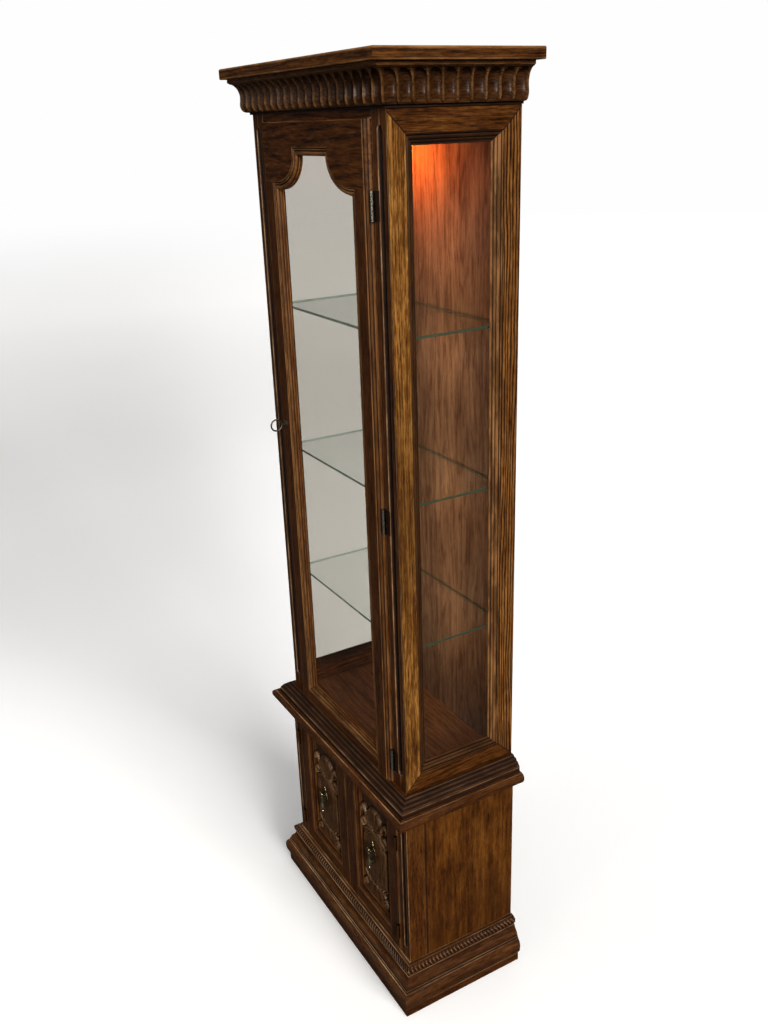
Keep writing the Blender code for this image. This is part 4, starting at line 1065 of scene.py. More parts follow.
# =============================================================================
# Glass door: stiles, rails and the beaded moulding that follows the shaped head
# =============================================================================
DOOR_X, DOOR_Y, DOOR_Z0, DOOR_Z1 = DOOR_HI.x, DOOR_LO.y, DOOR_LO.z, DOOR_HI.z
DOOR_T = 0.022
DOOR_BACK = DOOR_Y + DOOR_T
STILE_W, RAIL_H, MOULDING_W = 0.047, 0.029, 0.014
STILE_X = DOOR_X - STILE_W                  # inner edge of the stiles
SIGHT_X = STILE_X - MOULDING_W              # edge of the visible glass
SIGHT_Z0 = DOOR_Z0 + RAIL_H + MOULDING_W
ARCH_TOP, ARCH_SHOULDER, ARCH_W = 1.7990, 1.7350, 0.095
STEP_X = DOOR_X - 0.0130                    # where the door's stepped outer edge begins
HEAD_Z = ARCH_SHOULDER + MOULDING_W         # the head board is full width above this
# stepped outer edge of the door: x, y, bulge
STEPPED_EDGE = [
    (DOOR_X - 0.0112, DOOR_Y + 0.0022), (DOOR_X - 0.0048, DOOR_Y + 0.0040, 0.32),
    (DOOR_X - 0.0040, DOOR_Y + 0.0052), (DOOR_X - 0.0030, DOOR_Y + 0.0056),
    (DOOR_X - 0.0004, DOOR_Y + 0.0080, 0.34), (DOOR_X, DOOR_Y + 0.0090), (DOOR_X, DOOR_BACK)]
# inward from the moulding's outer line, back from the door's face, bulge
DOOR_MOULDING = outline([
    (0.0, 0.0158), (0.0, 0.0026), (0.0010, 0.0032), (0.0014, 0.0018),
    (0.0042, 0.0022, 0.60), (0.0046, 0.0048), (0.0056, 0.0052), (0.0060, 0.0036),
    (0.0124, 0.0050, 0.62), (0.0130, 0.0080), (0.0140, 0.0086), (0.0140, 0.0158)])


def head_line(inset):
    """Head outline (x, z), right to left, moved out from the sight line by inset.

    Each half is a quarter ellipse about the opening's top corner, then a small step up.
    """
    segments = 22
    height, width = (ARCH_TOP - ARCH_SHOULDER) - inset, ARCH_W - inset
    right = [(SIGHT_X + inset, ARCH_TOP - height)]
    for i in range(segments + 1):
        a = i / segments * math.pi / 2
        right.append((SIGHT_X - width * math.sin(a), ARCH_TOP - height * math.cos(a)))
    right.append((SIGHT_X - width, ARCH_TOP + inset))
    return right + [(-x, z) for x, z in reversed(right)]


def build_door_frame():
    section = outline([
        (STILE_X, DOOR_BACK), (STILE_X, DOOR_Y + 0.0006), (STILE_X + 0.0006, DOOR_Y),
        (DOOR_X - 0.0132, DOOR_Y), (DOOR_X - 0.0126, DOOR_Y + 0.0006),
        (DOOR_X - 0.0122, DOOR_Y + 0.0020)] + STEPPED_EDGE)
    stations = (DOOR_Z0, DOOR_Z0 + 0.0006, HEAD_Z - 0.0008, HEAD_Z - 0.0002)
    for side, tag in SIDES:
        stile = bar("door_stile_" + tag, section, "Z", stations, side)
        stile.make(STILE_OAK, "glass_door", "glass_door_frame" if side > 0 else None)

    rail_top = DOOR_Z0 + RAIL_H
    section = outline([
        (DOOR_BACK, DOOR_Z0), (DOOR_BACK, rail_top), (DOOR_Y + 0.0006, rail_top),
        (DOOR_Y, DOOR_Z0 + 0.0284), (DOOR_Y, DOOR_Z0 + 0.0008), (DOOR_Y + 0.0008, DOOR_Z0)])
    rail = bar("door_rail_bottom", section, "X", (-STILE_X + 0.0002, STILE_X - 0.0002))
    rail.make(RAIL_OAK, "glass_door")


def build_door_head():
    """One board with the shaped edge cut in it, and the stepped edge up its two ends."""
    shape = np.array([(STEP_X, HEAD_Z)] + head_line(MOULDING_W)
                     + [(-STEP_X, HEAD_Z), (-STEP_X, DOOR_Z1), (STEP_X, DOOR_Z1)])
    tangent = np.roll(shape, -1, 0) - np.roll(shape, 1, 0)
    tangent /= np.maximum(np.linalg.norm(tangent, axis=1, keepdims=True), 1e-9)
    inward = np.stack([-tangent[:, 1], tangent[:, 0]], 1) * (1 if signed_area(shape) > 0 else -1)
    rings, wear = [], []
    for y, inset, ring_wear_highlight in ((DOOR_BACK, 0.0, 0.0), (DOOR_Y + 0.0006, 0.0, 0.6),
                                (DOOR_Y, 0.0006, 0.9), (DOOR_Y, 0.0030, 0.0)):
        points = shape + inward * inset
        rings.append(np.stack([points[:, 0], np.full(len(points), y), points[:, 1]], 1))
        wear.append([ring_wear_highlight])
    head = Solid("door_rail_head").loft(rings, wear, axis="X")
    head.make(RAIL_OAK, "glass_door", angle=30)

    section = outline([
        (STEP_X + 0.0002, DOOR_BACK), (STEP_X + 0.0002, DOOR_Y + 0.0006),
        (STEP_X + 0.0004, DOOR_Y + 0.0004), (STEP_X + 0.0008, DOOR_Y + 0.0020)] + STEPPED_EDGE)
    for side, tag in SIDES:
        edge = bar("door_head_edge_" + tag, section, "Z", (HEAD_Z, DOOR_Z1 - 0.0006, DOOR_Z1),
                   side, grain="X")
        edge.make(RAIL_OAK, "glass_door")


def build_door_moulding():
    gap = 0.0001
    marks = wear_marks(DOOR_MOULDING)
    depth = DOOR_Y + DOOR_MOULDING[:, 1]
    inset = MOULDING_W - DOOR_MOULDING[:, 0]
    edge_x, bottom_z = SIGHT_X + inset, SIGHT_Z0 - inset
    shoulder_z = ARCH_TOP - ((ARCH_TOP - ARCH_SHOULDER) - inset) - gap
    solid = Solid("door_moulding")
    for side, tag in ((1, "r"), (-1, "l")):
        rings = [np.stack([side * edge_x, depth, z], 1) for z in (bottom_z + gap, shoulder_z)]
        solid.loft(rings, *marks, "Z", tag)
    solid.loft([np.stack([x, depth, bottom_z], 1) for x in (-edge_x + gap, edge_x - gap)],
               *marks, "X", "b")
    lines = np.array([head_line(float(i)) for i in inset])      # section point, station, xz
    rings = [np.stack([lines[:, j, 0], depth, lines[:, j, 1]], 1) for j in range(lines.shape[1])]
    solid.loft(rings, *marks, "X", "h")
    solid.make(DOOR_MOULDING_OAK, "glass_door", angle=40)


# =============================================================================
# Base doors: frame, moulding and the carved panel
# =============================================================================
BASE_DOOR_Y, BASE_DOOR_BACK = BASE_DOOR_LO.y, BASE_DOOR_HI.y
BASE_STILE_W, BASE_RAIL_H, BASE_MOULDING_W = 0.038, 0.033, 0.016
PANEL_LAP = 0.0035                          # panel hidden behind the moulding
# inward from the frame's inner edge, back from the door's face, bulge
BASE_MOULDING = outline([
    (0.0, 0.0142), (0.0, 0.0012), (0.0012, 0.0018), (0.0016, 0.0010),
    (0.0052, 0.0018, 0.58), (0.0058, 0.0034), (0.0070, 0.0040), (0.0118, 0.0076, -0.36),
    (0.0124, 0.0080), (0.0130, 0.0076), (0.0156, 0.0096, 0.55), (0.0160, 0.0112),
    (0.0160, 0.0142)])


def base_door_frame(side, tag, body, x0, x1, z0, z1):
    front, back = BASE_DOOR_Y, BASE_DOOR_BACK
    ease, stile_round, rail_round = 0.0006, 0.0040, 0.0030
    inner0, inner1 = x0 + BASE_STILE_W, x1 - BASE_STILE_W
    outer_stile = [(inner1, back), (inner1, front + ease), (inner1 + ease, front),
                   (x1 - stile_round, front), (x1, front + stile_round, 0.41), (x1, back)]
    inner_stile = [(x0, back), (x0, front + stile_round), (x0 + stile_round, front, 0.41),
                   (inner0 - ease, front), (inner0, front + ease), (inner0, back)]
    for name, corners, node in (("out_", outer_stile, "base_door_" + tag),
                                ("in_", inner_stile, None)):
        stile = bar("base_door_stile_" + name + tag, outline(corners), "Z", (z0, z1), side)
        stile.make(BASE_STILE_OAK, body, node)
    low, high = z0 + BASE_RAIL_H, z1 - BASE_RAIL_H
    top_rail = [(back, high), (back, z1), (front + rail_round, z1),
                (front, z1 - rail_round, 0.41), (front, high + ease), (front + ease, high)]
    bottom_rail = [(back, z0), (back, low), (front + ease, low), (front, low - ease),
                   (front, z0 + rail_round), (front + rail_round, z0, 0.41)]
    stations = (side * (inner0 + 0.0002), side * (inner1 - 0.0002))
    for name, corners in (("top_", top_rail), ("bottom_", bottom_rail)):
        rail = bar("base_door_rail_" + name + tag, outline(corners), "X", stations)
        rail.make(BASE_RAIL_OAK, body)


def base_door_moulding(side, tag, body, x0, x1, z0, z1):
    gap = 0.0001
    marks = wear_marks(BASE_MOULDING)
    inward, depth = BASE_MOULDING[:, 0], BASE_DOOR_Y + BASE_MOULDING[:, 1]
    left, right, low, high = x0 + inward, x1 - inward, z0 + inward, z1 - inward
    solid = Solid("base_door_moulding_" + tag)
    for axis, length, ends in (
            ("Z", "a", ((left, low + gap), (left, high - gap))),
            ("Z", "b", ((right, low + gap), (right, high - gap))),
            ("X", "c", ((left + gap, low), (right - gap, low))),
            ("X", "e", ((left + gap, high), (right - gap, high)))):
        solid.loft([np.stack([side * x, depth, z], 1) for x, z in ends], *marks, axis, length)
    solid.make(BASE_MOULDING_OAK, body)


def build_base_door(side, tag):
    """Both doors are drawn from the right one's measures; side mirrors the left."""
    body = tag + "_base_door"
    x0, x1, z0, z1 = BASE_DOOR_LO.x, BASE_DOOR_HI.x, BASE_DOOR_LO.z, BASE_DOOR_HI.z
    base_door_frame(side, tag, body, x0, x1, z0, z1)
    x0, x1 = x0 + BASE_STILE_W, x1 - BASE_STILE_W
    z0, z1 = z0 + BASE_RAIL_H, z1 - BASE_RAIL_H
    base_door_moulding(side, tag, body, x0, x1, z0, z1)
    x0, x1 = x0 + BASE_MOULDING_W, x1 - BASE_MOULDING_W
    z0, z1 = z0 + BASE_MOULDING_W, z1 - BASE_MOULDING_W
    carved_panel(side, tag, body, x0 - PANEL_LAP, x1 + PANEL_LAP, z0 - PANEL_LAP, z1 + PANEL_LAP)


# Carved relief. Heights and places are in millimetres: x from the panel's middle,
# z up from near its foot.
def soft_max(a, b, blend):
    h = np.clip(0.5 + 0.5 * (a - b) / blend, 0, 1)
    return b * (1 - h) + a * h + blend * h * (1 - h)


def plateau(inside, rim, power):
    """0 outside a shape, rising over rim to 1; inside is the distance in from its edge."""
    return np.clip(inside / rim, 0, 1) ** power


def stroke(x, z, points, radius, height, steps=14):
    """A rounded ridge along a smooth curve; radius and height are (start, end)."""
    points = np.array(points, float)
    padded = np.vstack([2 * points[0] - points[1], points, 2 * points[-1] - points[-2]])
    curve = []
    for i in range(len(points) - 1):
        a, b, c, d = padded[i:i + 4]
        for j in range(steps):
            t = j / steps
            curve.append(0.5 * ((2 * b) + (-a + c) * t + (2 * a - 5 * b + 4 * c - d) * t * t
                                + (-a + 3 * b - 3 * c + d) * t ** 3))
    curve.append(points[-1])
    best = np.full(x.shape, -9.0)
    for i, (cx, cz) in enumerate(curve):
        f = i / (len(curve) - 1)
        r = radius[0] + (radius[1] - radius[0]) * f
        h = height[0] + (height[1] - height[0]) * f
        square = ((x - cx) ** 2 + (z - cz) ** 2) / (r * r)
        ridge = h * np.sqrt(np.clip(1 - square, 0, 1))
        best = np.maximum(best, np.where(square < 1, ridge, -9.0))
    return best


def volute(x, z, centre, radius, height, start, turns=1.35):
    """A curl: a ridge winding in clockwise from the start angle."""
    points = []
    for i in range(16):
        f = i / 15
        a = start - f * turns * math.tau
        r = radius * (1 - 0.82 * f)
        points.append((centre[0] + r * math.cos(a), centre[1] + r * math.sin(a)))
    return stroke(x, z, points, (radius * 0.34, radius * 0.20), (height, height * 0.9), steps=5)


def shield_foot(x, z):
    return 47 + 15 * np.clip(np.abs(x) / 50, 0, 1) ** 1.4


def shield_relief(x, z):
    """A plain field under an arched head, three lines nested in it."""
    across, foot = np.abs(x), shield_foot(x, z)
    top = 174 + 27 * np.sqrt(np.clip(1 - (across / 55) ** 2, 0, 1))
    half = 49.5 + 2.6 * np.cos((z - 120) / 62 * 1.2) - 3.5 * np.exp(-((z - 176) / 8) ** 2)
    inside = np.minimum(np.minimum(half - across, (top - z) * 0.9), z - foot)
    height = 7.4 * plateau(inside, rim=3.0, power=0.55)
    nest = np.sqrt(x ** 2 + (np.maximum(z - 160, 0) * 1.12) ** 2)
    fade = np.clip((z - foot - 6) / 5, 0, 1)
    # place, width and depth of each line
    for place, width, depth in ((44.6, 1.2, 1.5), (39.4, 1.7, 2.1), (33.4, 1.7, 2.1)):
        line = depth * np.exp(-((nest - place) / width) ** 2) * fade
        height = height - np.where(inside > 0, line, 0)
    return height + np.where(inside > 0, 1.3 * np.clip(1 - (nest / 30) ** 2, 0, 1), 0)


def foot_relief(x, z):
    """A ribbed skirt spreading below the shield."""
    half = 35 + 21 * np.exp(-((z - 16) / 15) ** 2)
    above = z - (4 + 8 * np.exp(-(x / 17) ** 2))
    below = shield_foot(x, z) - 1.8 - z
    inside = np.minimum(np.minimum(half - np.abs(x), above), below)
    rib = np.cos(np.arctan2(x, 84 - z) * 17)
    height = 6.6 * plateau(inside, rim=3.0, power=0.6)
    return height + np.where(inside > 0, 1.1 * rib * np.clip(inside / 4, 0, 1), 0)


def crest_relief(x, z):
    """A broad dome parted into lobes by four rays."""
    dome = 1 - (x / 36) ** 2 - ((z - 224) / 44) ** 2
    inside = np.where(z > 218, dome, -1)
    ray = np.arctan2(x, z - 186)
    height = 8.8 * plateau(inside, rim=0.24, power=0.55)
    for angle in (-0.47, -0.17, 0.17, 0.47):
        height = height - np.where(inside > 0, 2.4 * np.exp(-((ray - angle) / 0.035) ** 2), 0)
    return height


SKIRT_STROKE = [(2, 44), (18, 41), (36, 46), (50, 60)]
UPPER_SCROLL = [(5, 215), (18, 218), (31, 226), (38, 240), (47, 250), (57, 243), (54, 233)]
LOWER_SCROLL = [(5, 206), (19, 209), (33, 206), (46, 212), (57, 205), (57, 193), (50, 190)]


def panel_relief(x, z):
    height = np.maximum(np.zeros_like(x), shield_relief(x, z))
    height = np.maximum(height, foot_relief(x, z))
    for half in (1, -1):
        curl = volute(x * half, z, centre=(46.5, 21.5), radius=10.0, height=9.8,
                      start=math.pi * 0.9)
        height = np.maximum(height, curl)
        line = stroke(x * half, z, SKIRT_STROKE, radius=(3.2, 2.2), height=(8.8, 8.0))
        height = soft_max(height, line, blend=0.8)
    height = np.maximum(height, crest_relief(x, z))
    for half in (1, -1):
        upper = stroke(x * half, z, UPPER_SCROLL, radius=(5.2, 3.4), height=(10.6, 9.4))
        height = soft_max(height, upper, blend=0.7)
        lower = stroke(x * half, z, LOWER_SCROLL, radius=(4.8, 3.2), height=(10.0, 9.0))
        height = soft_max(height, lower, blend=0.7)
    ball = stroke(x, z, [(0, 211.8), (0, 212.2)], radius=(5.6, 5.6), height=(11.0, 11.0), steps=2)
    height = np.clip(np.maximum(height, ball), 0.0, 11.0)
    # tool marks: fine unevenness of cut wood
    tooling = 0.16 * np.sin(x * 0.9 + 1.3 * np.sin(z * 0.23)) * np.cos(z * 0.31 + x * 0.11)
    height = height + np.where(height > 0.5, tooling, 0)
    from_edge = np.minimum(np.minimum(x - x.min(), x.max() - x),
                           np.minimum(z - z.min(), z.max() - z))
    return np.where(from_edge < 2.6, 0.0, height)


def proudness(height, reach):
    """Height above the mean of the four neighbours reach cells away."""
    return height - (np.roll(height, reach, 0) + np.roll(height, -reach, 0)
                     + np.roll(height, reach, 1) + np.roll(height, -reach, 1)) / 4


def carved_panel(side, tag, body, x0, x1, z0, z1):
    cell, ground_depth = 0.00085, 0.0054
    grid_x = np.linspace(x0, x1, int((x1 - x0) / cell) + 1)
    grid_z = np.linspace(z0, z1, int((z1 - z0) / cell) + 1)
    relief_x = (grid_x - (x0 + x1) / 2) * 1000.0
    relief_z = ((grid_z - z0) * 1000.0 - 3.5) / 0.955       # the design is drawn 0.955 high
    height = panel_relief(*np.meshgrid(relief_x, relief_z, indexing="ij"))

    # wear and painted highlight on the high relief, dirt and painted shade in its recesses
    broad, close = proudness(height, reach=4), proudness(height, reach=2)
    wear = np.clip(close / 1.6 + broad / 6.0, 0, 0.8)
    dirt = np.clip(-broad / 1.9, 0, 0.9)
    dirt = np.maximum(dirt, np.where(height < 0.3, 0.50, 0))    # grime and painted shade on the ground

    y = PANEL_BACK - ground_depth - height / 1000.0
    shape = height.shape
    front = np.stack([side * np.broadcast_to(grid_x[:, None], shape), y,
                      np.broadcast_to(grid_z[None, :], shape)], -1).reshape(-1, 3)
    index = np.arange(height.size).reshape(shape)
    faces = np.stack([index[:-1, :-1], index[1:, :-1], index[1:, 1:], index[:-1, 1:]], -1)
    faces = faces.reshape(-1, 4).tolist()
    rim = np.concatenate([index[:, 0], index[-1, 1:], index[-2::-1, -1], index[0, -2:0:-1]])
    back = front[rim].copy()
    back[:, 1] = PANEL_BACK
    rim, first = rim.tolist(), height.size
    for i in range(len(rim)):
        j = (i + 1) % len(rim)
        faces.append((rim[j], rim[i], first + i, first + j))
    faces.append(tuple(first + i for i in range(len(rim))))
    plain = np.zeros(len(rim))
    solid = Solid("carved_panel_" + tag)
    solid.add(np.vstack([front, back]), faces, np.concatenate([wear.ravel(), plain]),
              np.concatenate([dirt.ravel(), plain]), "Z")
    solid.make(PANEL_OAK, body, "base_panel_" + tag, angle=60)


# =============================================================================
# Base sides: front band, groove, veneered panel
# =============================================================================
def build_base_side(side, tag):
    groove_y = BASE_FRONT + 0.046
    half, thickness = BASE_HALF, BASE_SIDE_HI.x - BASE_SIDE_LO.x
    inner = half - thickness
    stations = (BASE_SIDE_LO.z, BASE_SIDE_HI.z)

    section = outline([
        (inner, BASE_FRONT + thickness + 0.0002), (half, BASE_FRONT + 0.0002),
        (half, groove_y - 0.0024), (half - 0.0012, groove_y - 0.0014, 0.41),
        (inner, groove_y - 0.0014)])
    wear, dirt = wear_marks(section)
    seam = section[:, 1] > groove_y - 0.0030
    marks = np.where(seam, 0.0, wear * 0.8), np.where(seam, 0.55, dirt)
    band = bar("base_side_band_" + tag, section, "Z", stations, side, marks=marks)
    band.make(BAND_OAK, "case", "base_side_" + tag)

    section = outline([
        (inner, groove_y - 0.0011), (half - 0.0022, groove_y - 0.0011),
        (half - 0.0020, groove_y + 0.0010), (half - 0.0006, groove_y + 0.0018, 0.41),
        (half, groove_y + 0.0030), (half, BASE_BACK - 0.0006), (half - 0.0006, BASE_BACK),
        (inner, BASE_BACK)])
    wear, dirt = wear_marks(section)
    seam = section[:, 1] < groove_y + 0.0032
    marks = np.where(seam, 0.0, wear * 0.7), np.where(seam, 0.70, dirt)
    panel = bar("base_side_panel_" + tag, section, "Z", stations, side, marks=marks)
    panel.make(SIDE_VENEER, "case", slot="wood_panel")


# =============================================================================
# CAD pieces kept as they are: finish and soft arrises
# =============================================================================
# node, material, bevel width
KEPT_PIECES = (
    ("case_top", INNER_OAK, 0.0004), ("case_deck", DECK_OAK, 0.0004),
    ("face_rail", FACE_RAIL_OAK, 0.0005), ("back_panel_upper", BACK_VENEER, 0.0),
    ("back_panel_lower", BACK_VENEER, 0.0), ("base_rail", FACE_RAIL_OAK, 0.0005),
    ("base_floor", DECK_OAK, 0.0004), ("side_glass_left", CLEAR_GLASS, 0.0),
    ("side_glass_right", CLEAR_GLASS, 0.0), ("glass_door_pane", CLEAR_GLASS, 0.0),
    ("shelf_upper", SHELF_GLASS, 0.0005), ("shelf_middle", SHELF_GLASS, 0.0005),
    ("shelf_lower", SHELF_GLASS, 0.0005), ("lamp_socket", SOCKET_PLASTIC, 0.0),
    ("lamp_bulb", BULB_GLASS, 0.0), ("power_cord", CORD_RUBBER, 0.0),
)
BASE_HINGE_LOOK = dict(radius=0.0034, barrel=(0.055, 0.020, 0.0060),
                       leaf=(0.045, 0.0160, 0.0045), shine=0.0)
HINGE_LOOKS = {
    "hinge_door": dict(pin=(0.2185, -0.1225), radius=0.0040, barrel=(0.80, 0.75, 0.64),
                       leaf=(0.0160, 0.0058, 0.0020), shine=1.0),
    "hinge_base_right": dict(pin=(0.2350, -0.1326), **BASE_HINGE_LOOK),
    "hinge_base_left": dict(pin=(-0.2350, -0.1326), **BASE_HINGE_LOOK),
}


def dress(node, material, bevel=0.0):
    ob = NODES[node]
    materials = ob.data.materials
    if materials:
        for i in range(len(materials)):
            materials[i] = material
    else:
        materials.append(material)
    weld_modifier = ob.modifiers.new("weld", "WELD")
    weld_modifier.merge_threshold = 0.00002
    if bevel:
        edges = ob.modifiers.new("edges", "BEVEL")
        edges.width = bevel
        edges.segments = 3
        edges.limit_method = "ANGLE"
        edges.angle_limit = math.radians(38)


def dress_kept_pieces():
    for node, material, bevel in KEPT_PIECES:
        dress(node, material, bevel)
    hinges = {}
    for node in NODES:
        if node.startswith(("door_hinge", "base_hinge")):
            if node.startswith("door"):
                name = "hinge_door"
            else:
                name = "hinge_base_right" if "_right_" in node else "hinge_base_left"
            if name not in hinges:
                hinges[name] = hinge_metal(name, **HINGE_LOOKS[name])
            dress(node, hinges[name], bevel=0.0005)
        elif node == "key_escutcheon":
            dress(node, BRASS)
        elif node == "door_key":
            dress(node, KEY_STEEL)


# =============================================================================
# Pulls: a lobed back plate, two lugs, and the drop hung between them
# =============================================================================
PULL_X = (PULL_LO.x + PULL_HI.x) / 2
PULL_Y = PULL_HI.y + 0.0003
PULL_Z = (PULL_LO.z + PULL_HI.z) / 2
PLATE_HALF_W, PLATE_HALF_H = 0.0118, 0.0280
# share of the outline, height, wear, dirt
PLATE_RINGS = (
    (1.00, 0.0000, 0.0, 0.0), (1.00, 0.0012, 0.4, 0.0), (0.975, 0.0019, 1.0, 0.0),
    (0.93, 0.0023, 1.0, 0.0), (0.885, 0.0020, 0.6, 0.0), (0.85, 0.0012, 0.0, 0.9),
    (0.74, 0.0010, 0.0, 0.7), (0.56, 0.0012, 0.0, 0.5), (0.44, 0.0013, 0.0, 0.8),
    (0.40, 0.0018, 0.5, 0.0), (0.34, 0.0023, 0.8, 0.0), (0.20, 0.0026, 0.7, 0.0),
    (0.08, 0.0027, 0.7, 0.0), (0.004, 0.0027, 0.7, 0.0))
# turned profiles: radius, distance along the axis
PLATE_STUD = [(0.0, 0.0), (0.0020, 0.0), (0.0022, 0.0006), (0.0018, 0.0014),
              (0.0008, 0.0019), (0.0, 0.0020)]
DROP = [(0.0, 0.0030), (0.0020, 0.0028), (0.0032, 0.0014), (0.0035, -0.0008),
        (0.0030, -0.0032), (0.0020, -0.0050), (0.0019, -0.0070), (0.0034, -0.0080),
        (0.0036, -0.0090), (0.0034, -0.0100), (0.0019, -0.0110), (0.0020, -0.0170),
        (0.0032, -0.0235), (0.0053, -0.0300), (0.0066, -0.0348), (0.0068, -0.0376),
        (0.0058, -0.0410), (0.0038, -0.0438), (0.0024, -0.0452), (0.0022, -0.0464),
        (0.0032, -0.0478), (0.0036, -0.0498), (0.0028, -0.0524), (0.0014, -0.0540),
        (0.0, -0.0545)]
DROP_PIN = [(0.0, -0.0056), (0.0016, -0.0056), (0.0019, -0.0052), (0.0019, 0.0052),
            (0.0016, 0.0056), (0.0, 0.0056)]


def build_pull(side, tag):
    x = side * PULL_X
    segments = 72
    a = np.arange(segments) / segments * math.tau
    lobes = 1 + 0.13 * np.cos(4 * a) + 0.035 * np.cos(12 * a)
    rings = []
    for share, height, _, _ in PLATE_RINGS:
        # the lobes fade out towards the boss
        lobed = 1 + (lobes - 1) * (1.0 if share > 0.6 else share / 0.6)
        rings.append(np.stack([x + PLATE_HALF_W * lobed * np.cos(a) * share,
                               np.full(segments, PULL_Y - 0.0003 - height),
                               PULL_Z + PLATE_HALF_H * lobed * np.sin(a) * share], 1))
    wear_dirt = np.array(PLATE_RINGS)[:, 2:]
    plate = Solid("pull_backplate_" + tag)
    plate.loft(rings, wear_dirt[:, :1], wear_dirt[:, 1:], "Z")
    for dx in (-0.0075, 0.0075):
        plank(plate, (x + dx - 0.0014, PULL_Y - 0.0124, PULL_Z + 0.0098),
              (x + dx + 0.0014, PULL_Y - 0.0012, PULL_Z + 0.0162), "Y", ease=0.0009)
    for dz in (-0.0222, 0.0222):
        turned(plate, PLATE_STUD, (x, PULL_Y - 0.0012, PULL_Z + dz), (0, -1, 0))
    plate.make(BRASS, tag + "_base_door", "pull_plate_" + tag, slot="antique_brass", angle=40)

    drop = Solid("pull_pendant_" + tag)
    pivot = (x, PULL_Y - 0.0105, PULL_Z + 0.0130)
    turned(drop, DROP, pivot, (0, 0, 1), steps=32)
    turned(drop, DROP_PIN, pivot, (1, 0, 0))
    drop.make(PENDANT_BRASS, tag + "_drop", "pull_drop_" + tag, slot="antique_brass", angle=40)


# =============================================================================
# Shelf pins: two under each end of every glass shelf
# =============================================================================
def build_shelf_pins():
    r = 0.0025
    profile = [(0.0, 0.0), (0.0044, 0.0), (0.0046, 0.0004), (0.0044, 0.0010), (r, 0.0012),
               (r, 0.0072), (r * 0.7, 0.0080), (0.0, 0.0080)]
    for shelf in ("upper", "middle", "lower"):
        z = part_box("shelf_" + shelf)[0].z - r - 0.0001
        for side, tag in SIDES:
            for y, end in ((-0.0775, "front"), (0.1085, "back")):
                pin = Solid(f"shelf_pin_{shelf}_{tag}_{end}")
                turned(pin, profile, (side * (SIDE_LO.x + 0.0003), y, z), (-side, 0, 0))
                pin.make(PIN_METAL, "case", slot="dark_steel")


# =============================================================================
# Stage, world, lights and camera
# =============================================================================
def floor_material():
    """Pale floor fading to plain white far off, with a painted soft shadow behind the cabinet and
    painted light lifting the floor right of the view.
    """
    s = Shader(bpy.data.materials.new("studio_floor_pale"))
    coords = s.object_coords()
    radius = s.vmath("LENGTH", coords)
    far = s.remap(radius, span=(7.0, 20.0), smooth=True)
    soft = s.noise(coords, stretch=1.4, detail=3.0)
    pale = s.ramp(soft, stops=[(0.3, 0.90), (0.7, 0.94)])

    # distance ahead of the camera over the floor, and how far right of its axis a point is seen
    view, view_right, camera_offset = (-0.87, 0.49, 0.0), (0.49, 0.87, 0.0), 1.967
    ahead = s.plus(s.vmath("DOT_PRODUCT", coords, view), camera_offset)
    lean = s.math("DIVIDE", s.vmath("DOT_PRODUCT", coords, view_right),
                  s.math("MAXIMUM", ahead, 0.4))
    ahead = s.remap(ahead, span=(1.0, 2.4), smooth=True)

    # the painted shadow is a hump across the view, centred left of its axis
    hump_left = 0.35
    hump = s.remap(s.math("ABSOLUTE", s.plus(lean, hump_left)),
                   span=(0.0, 0.36), to=(1.0, 0.0), smooth=True)
    hump = s.times(s.times(hump, hump), s.minus(3.0, s.times(hump, 2.0)))
    painted_shadow = s.times(hump, s.times(ahead, s.remap(radius, span=(0.8, 2.8), smooth=True)))
    painted_shadow = s.times(painted_shadow, s.remap(radius, span=(6.0, 22.0), to=(0.17, 0.0), smooth=True))
    # painted light: the floor right of the view's axis is lifted brighter
    painted_lift = s.times(ahead, s.remap(lean, span=(0.0, 0.22), to=(0.0, 0.16), smooth=True))
    painted_lift = s.times(painted_lift, s.remap(radius, span=(2.0, 4.5), smooth=True))
    glow = s.ramp(s.math("DIVIDE", radius, 10.0),
                  stops=[(0.03, 0.18), (0.10, 0.24), (0.22, 0.25), (0.45, 0.25), (0.95, 0.42)])
    strength = s.math("MAXIMUM", s.minus(s.plus(glow, painted_lift), painted_shadow), 0.0)
    close = s.principled(Base_Color=pale, Roughness=0.8, Emission_Color=(1.0, 1.0, 1.0),
                         Emission_Strength=strength)
    distant = s.add("Emission", {0: (0.99, 0.99, 0.99), 1: s.minus(1.0, painted_shadow)}).outputs[0]
    seen = s.mix_shader(far, close, distant)
    # reflections and bounced light meet a dull dark floor
    dull = s.add("BsdfDiffuse", {0: (0.06, 0.058, 0.056)}).outputs[0]
    to_camera = s.add("LightPath").outputs["Is Camera Ray"]
    return s.finish(s.mix_shader(to_camera, dull, seen))


def build_floor():
    mesh = bpy.data.meshes.new("studio_floor")
    bm = bmesh.new()
    bmesh.ops.create_circle(bm, cap_ends=True, segments=96, radius=40.0)
    bm.to_mesh(mesh)
    bm.free()
    floor = bpy.data.objects.new("studio_floor", mesh)
    SCENE.collection.objects.link(floor)
    mesh.materials.append(floor_material())
    floor.location = (0, 0, -0.0005)
    return floor


def build_world():
    """White to the camera; a dim sky, brighter overhead, for lighting."""
    world = bpy.data.worlds.new("studio")
    SCENE.world = world
    s = Shader(world, "World")
    seen = s.add("Background", {0: (0.99, 0.99, 0.99), 1: 1.0}).outputs[0]
    up = s.split(s.add("TexCoord").outputs["Generated"])[2]
    sky = s.ramp(s.remap(up, span=(-1.0, 1.0)),
                 stops=[(0.35, (0.16, 0.15, 0.15)), (0.95, 1.0)])
    lighting = s.add("Background", {0: sky, 1: 0.09}).outputs[0]
    to_camera = s.add("LightPath").outputs["Is Camera Ray"]
    s.finish(s.mix_shader(to_camera, lighting, seen))


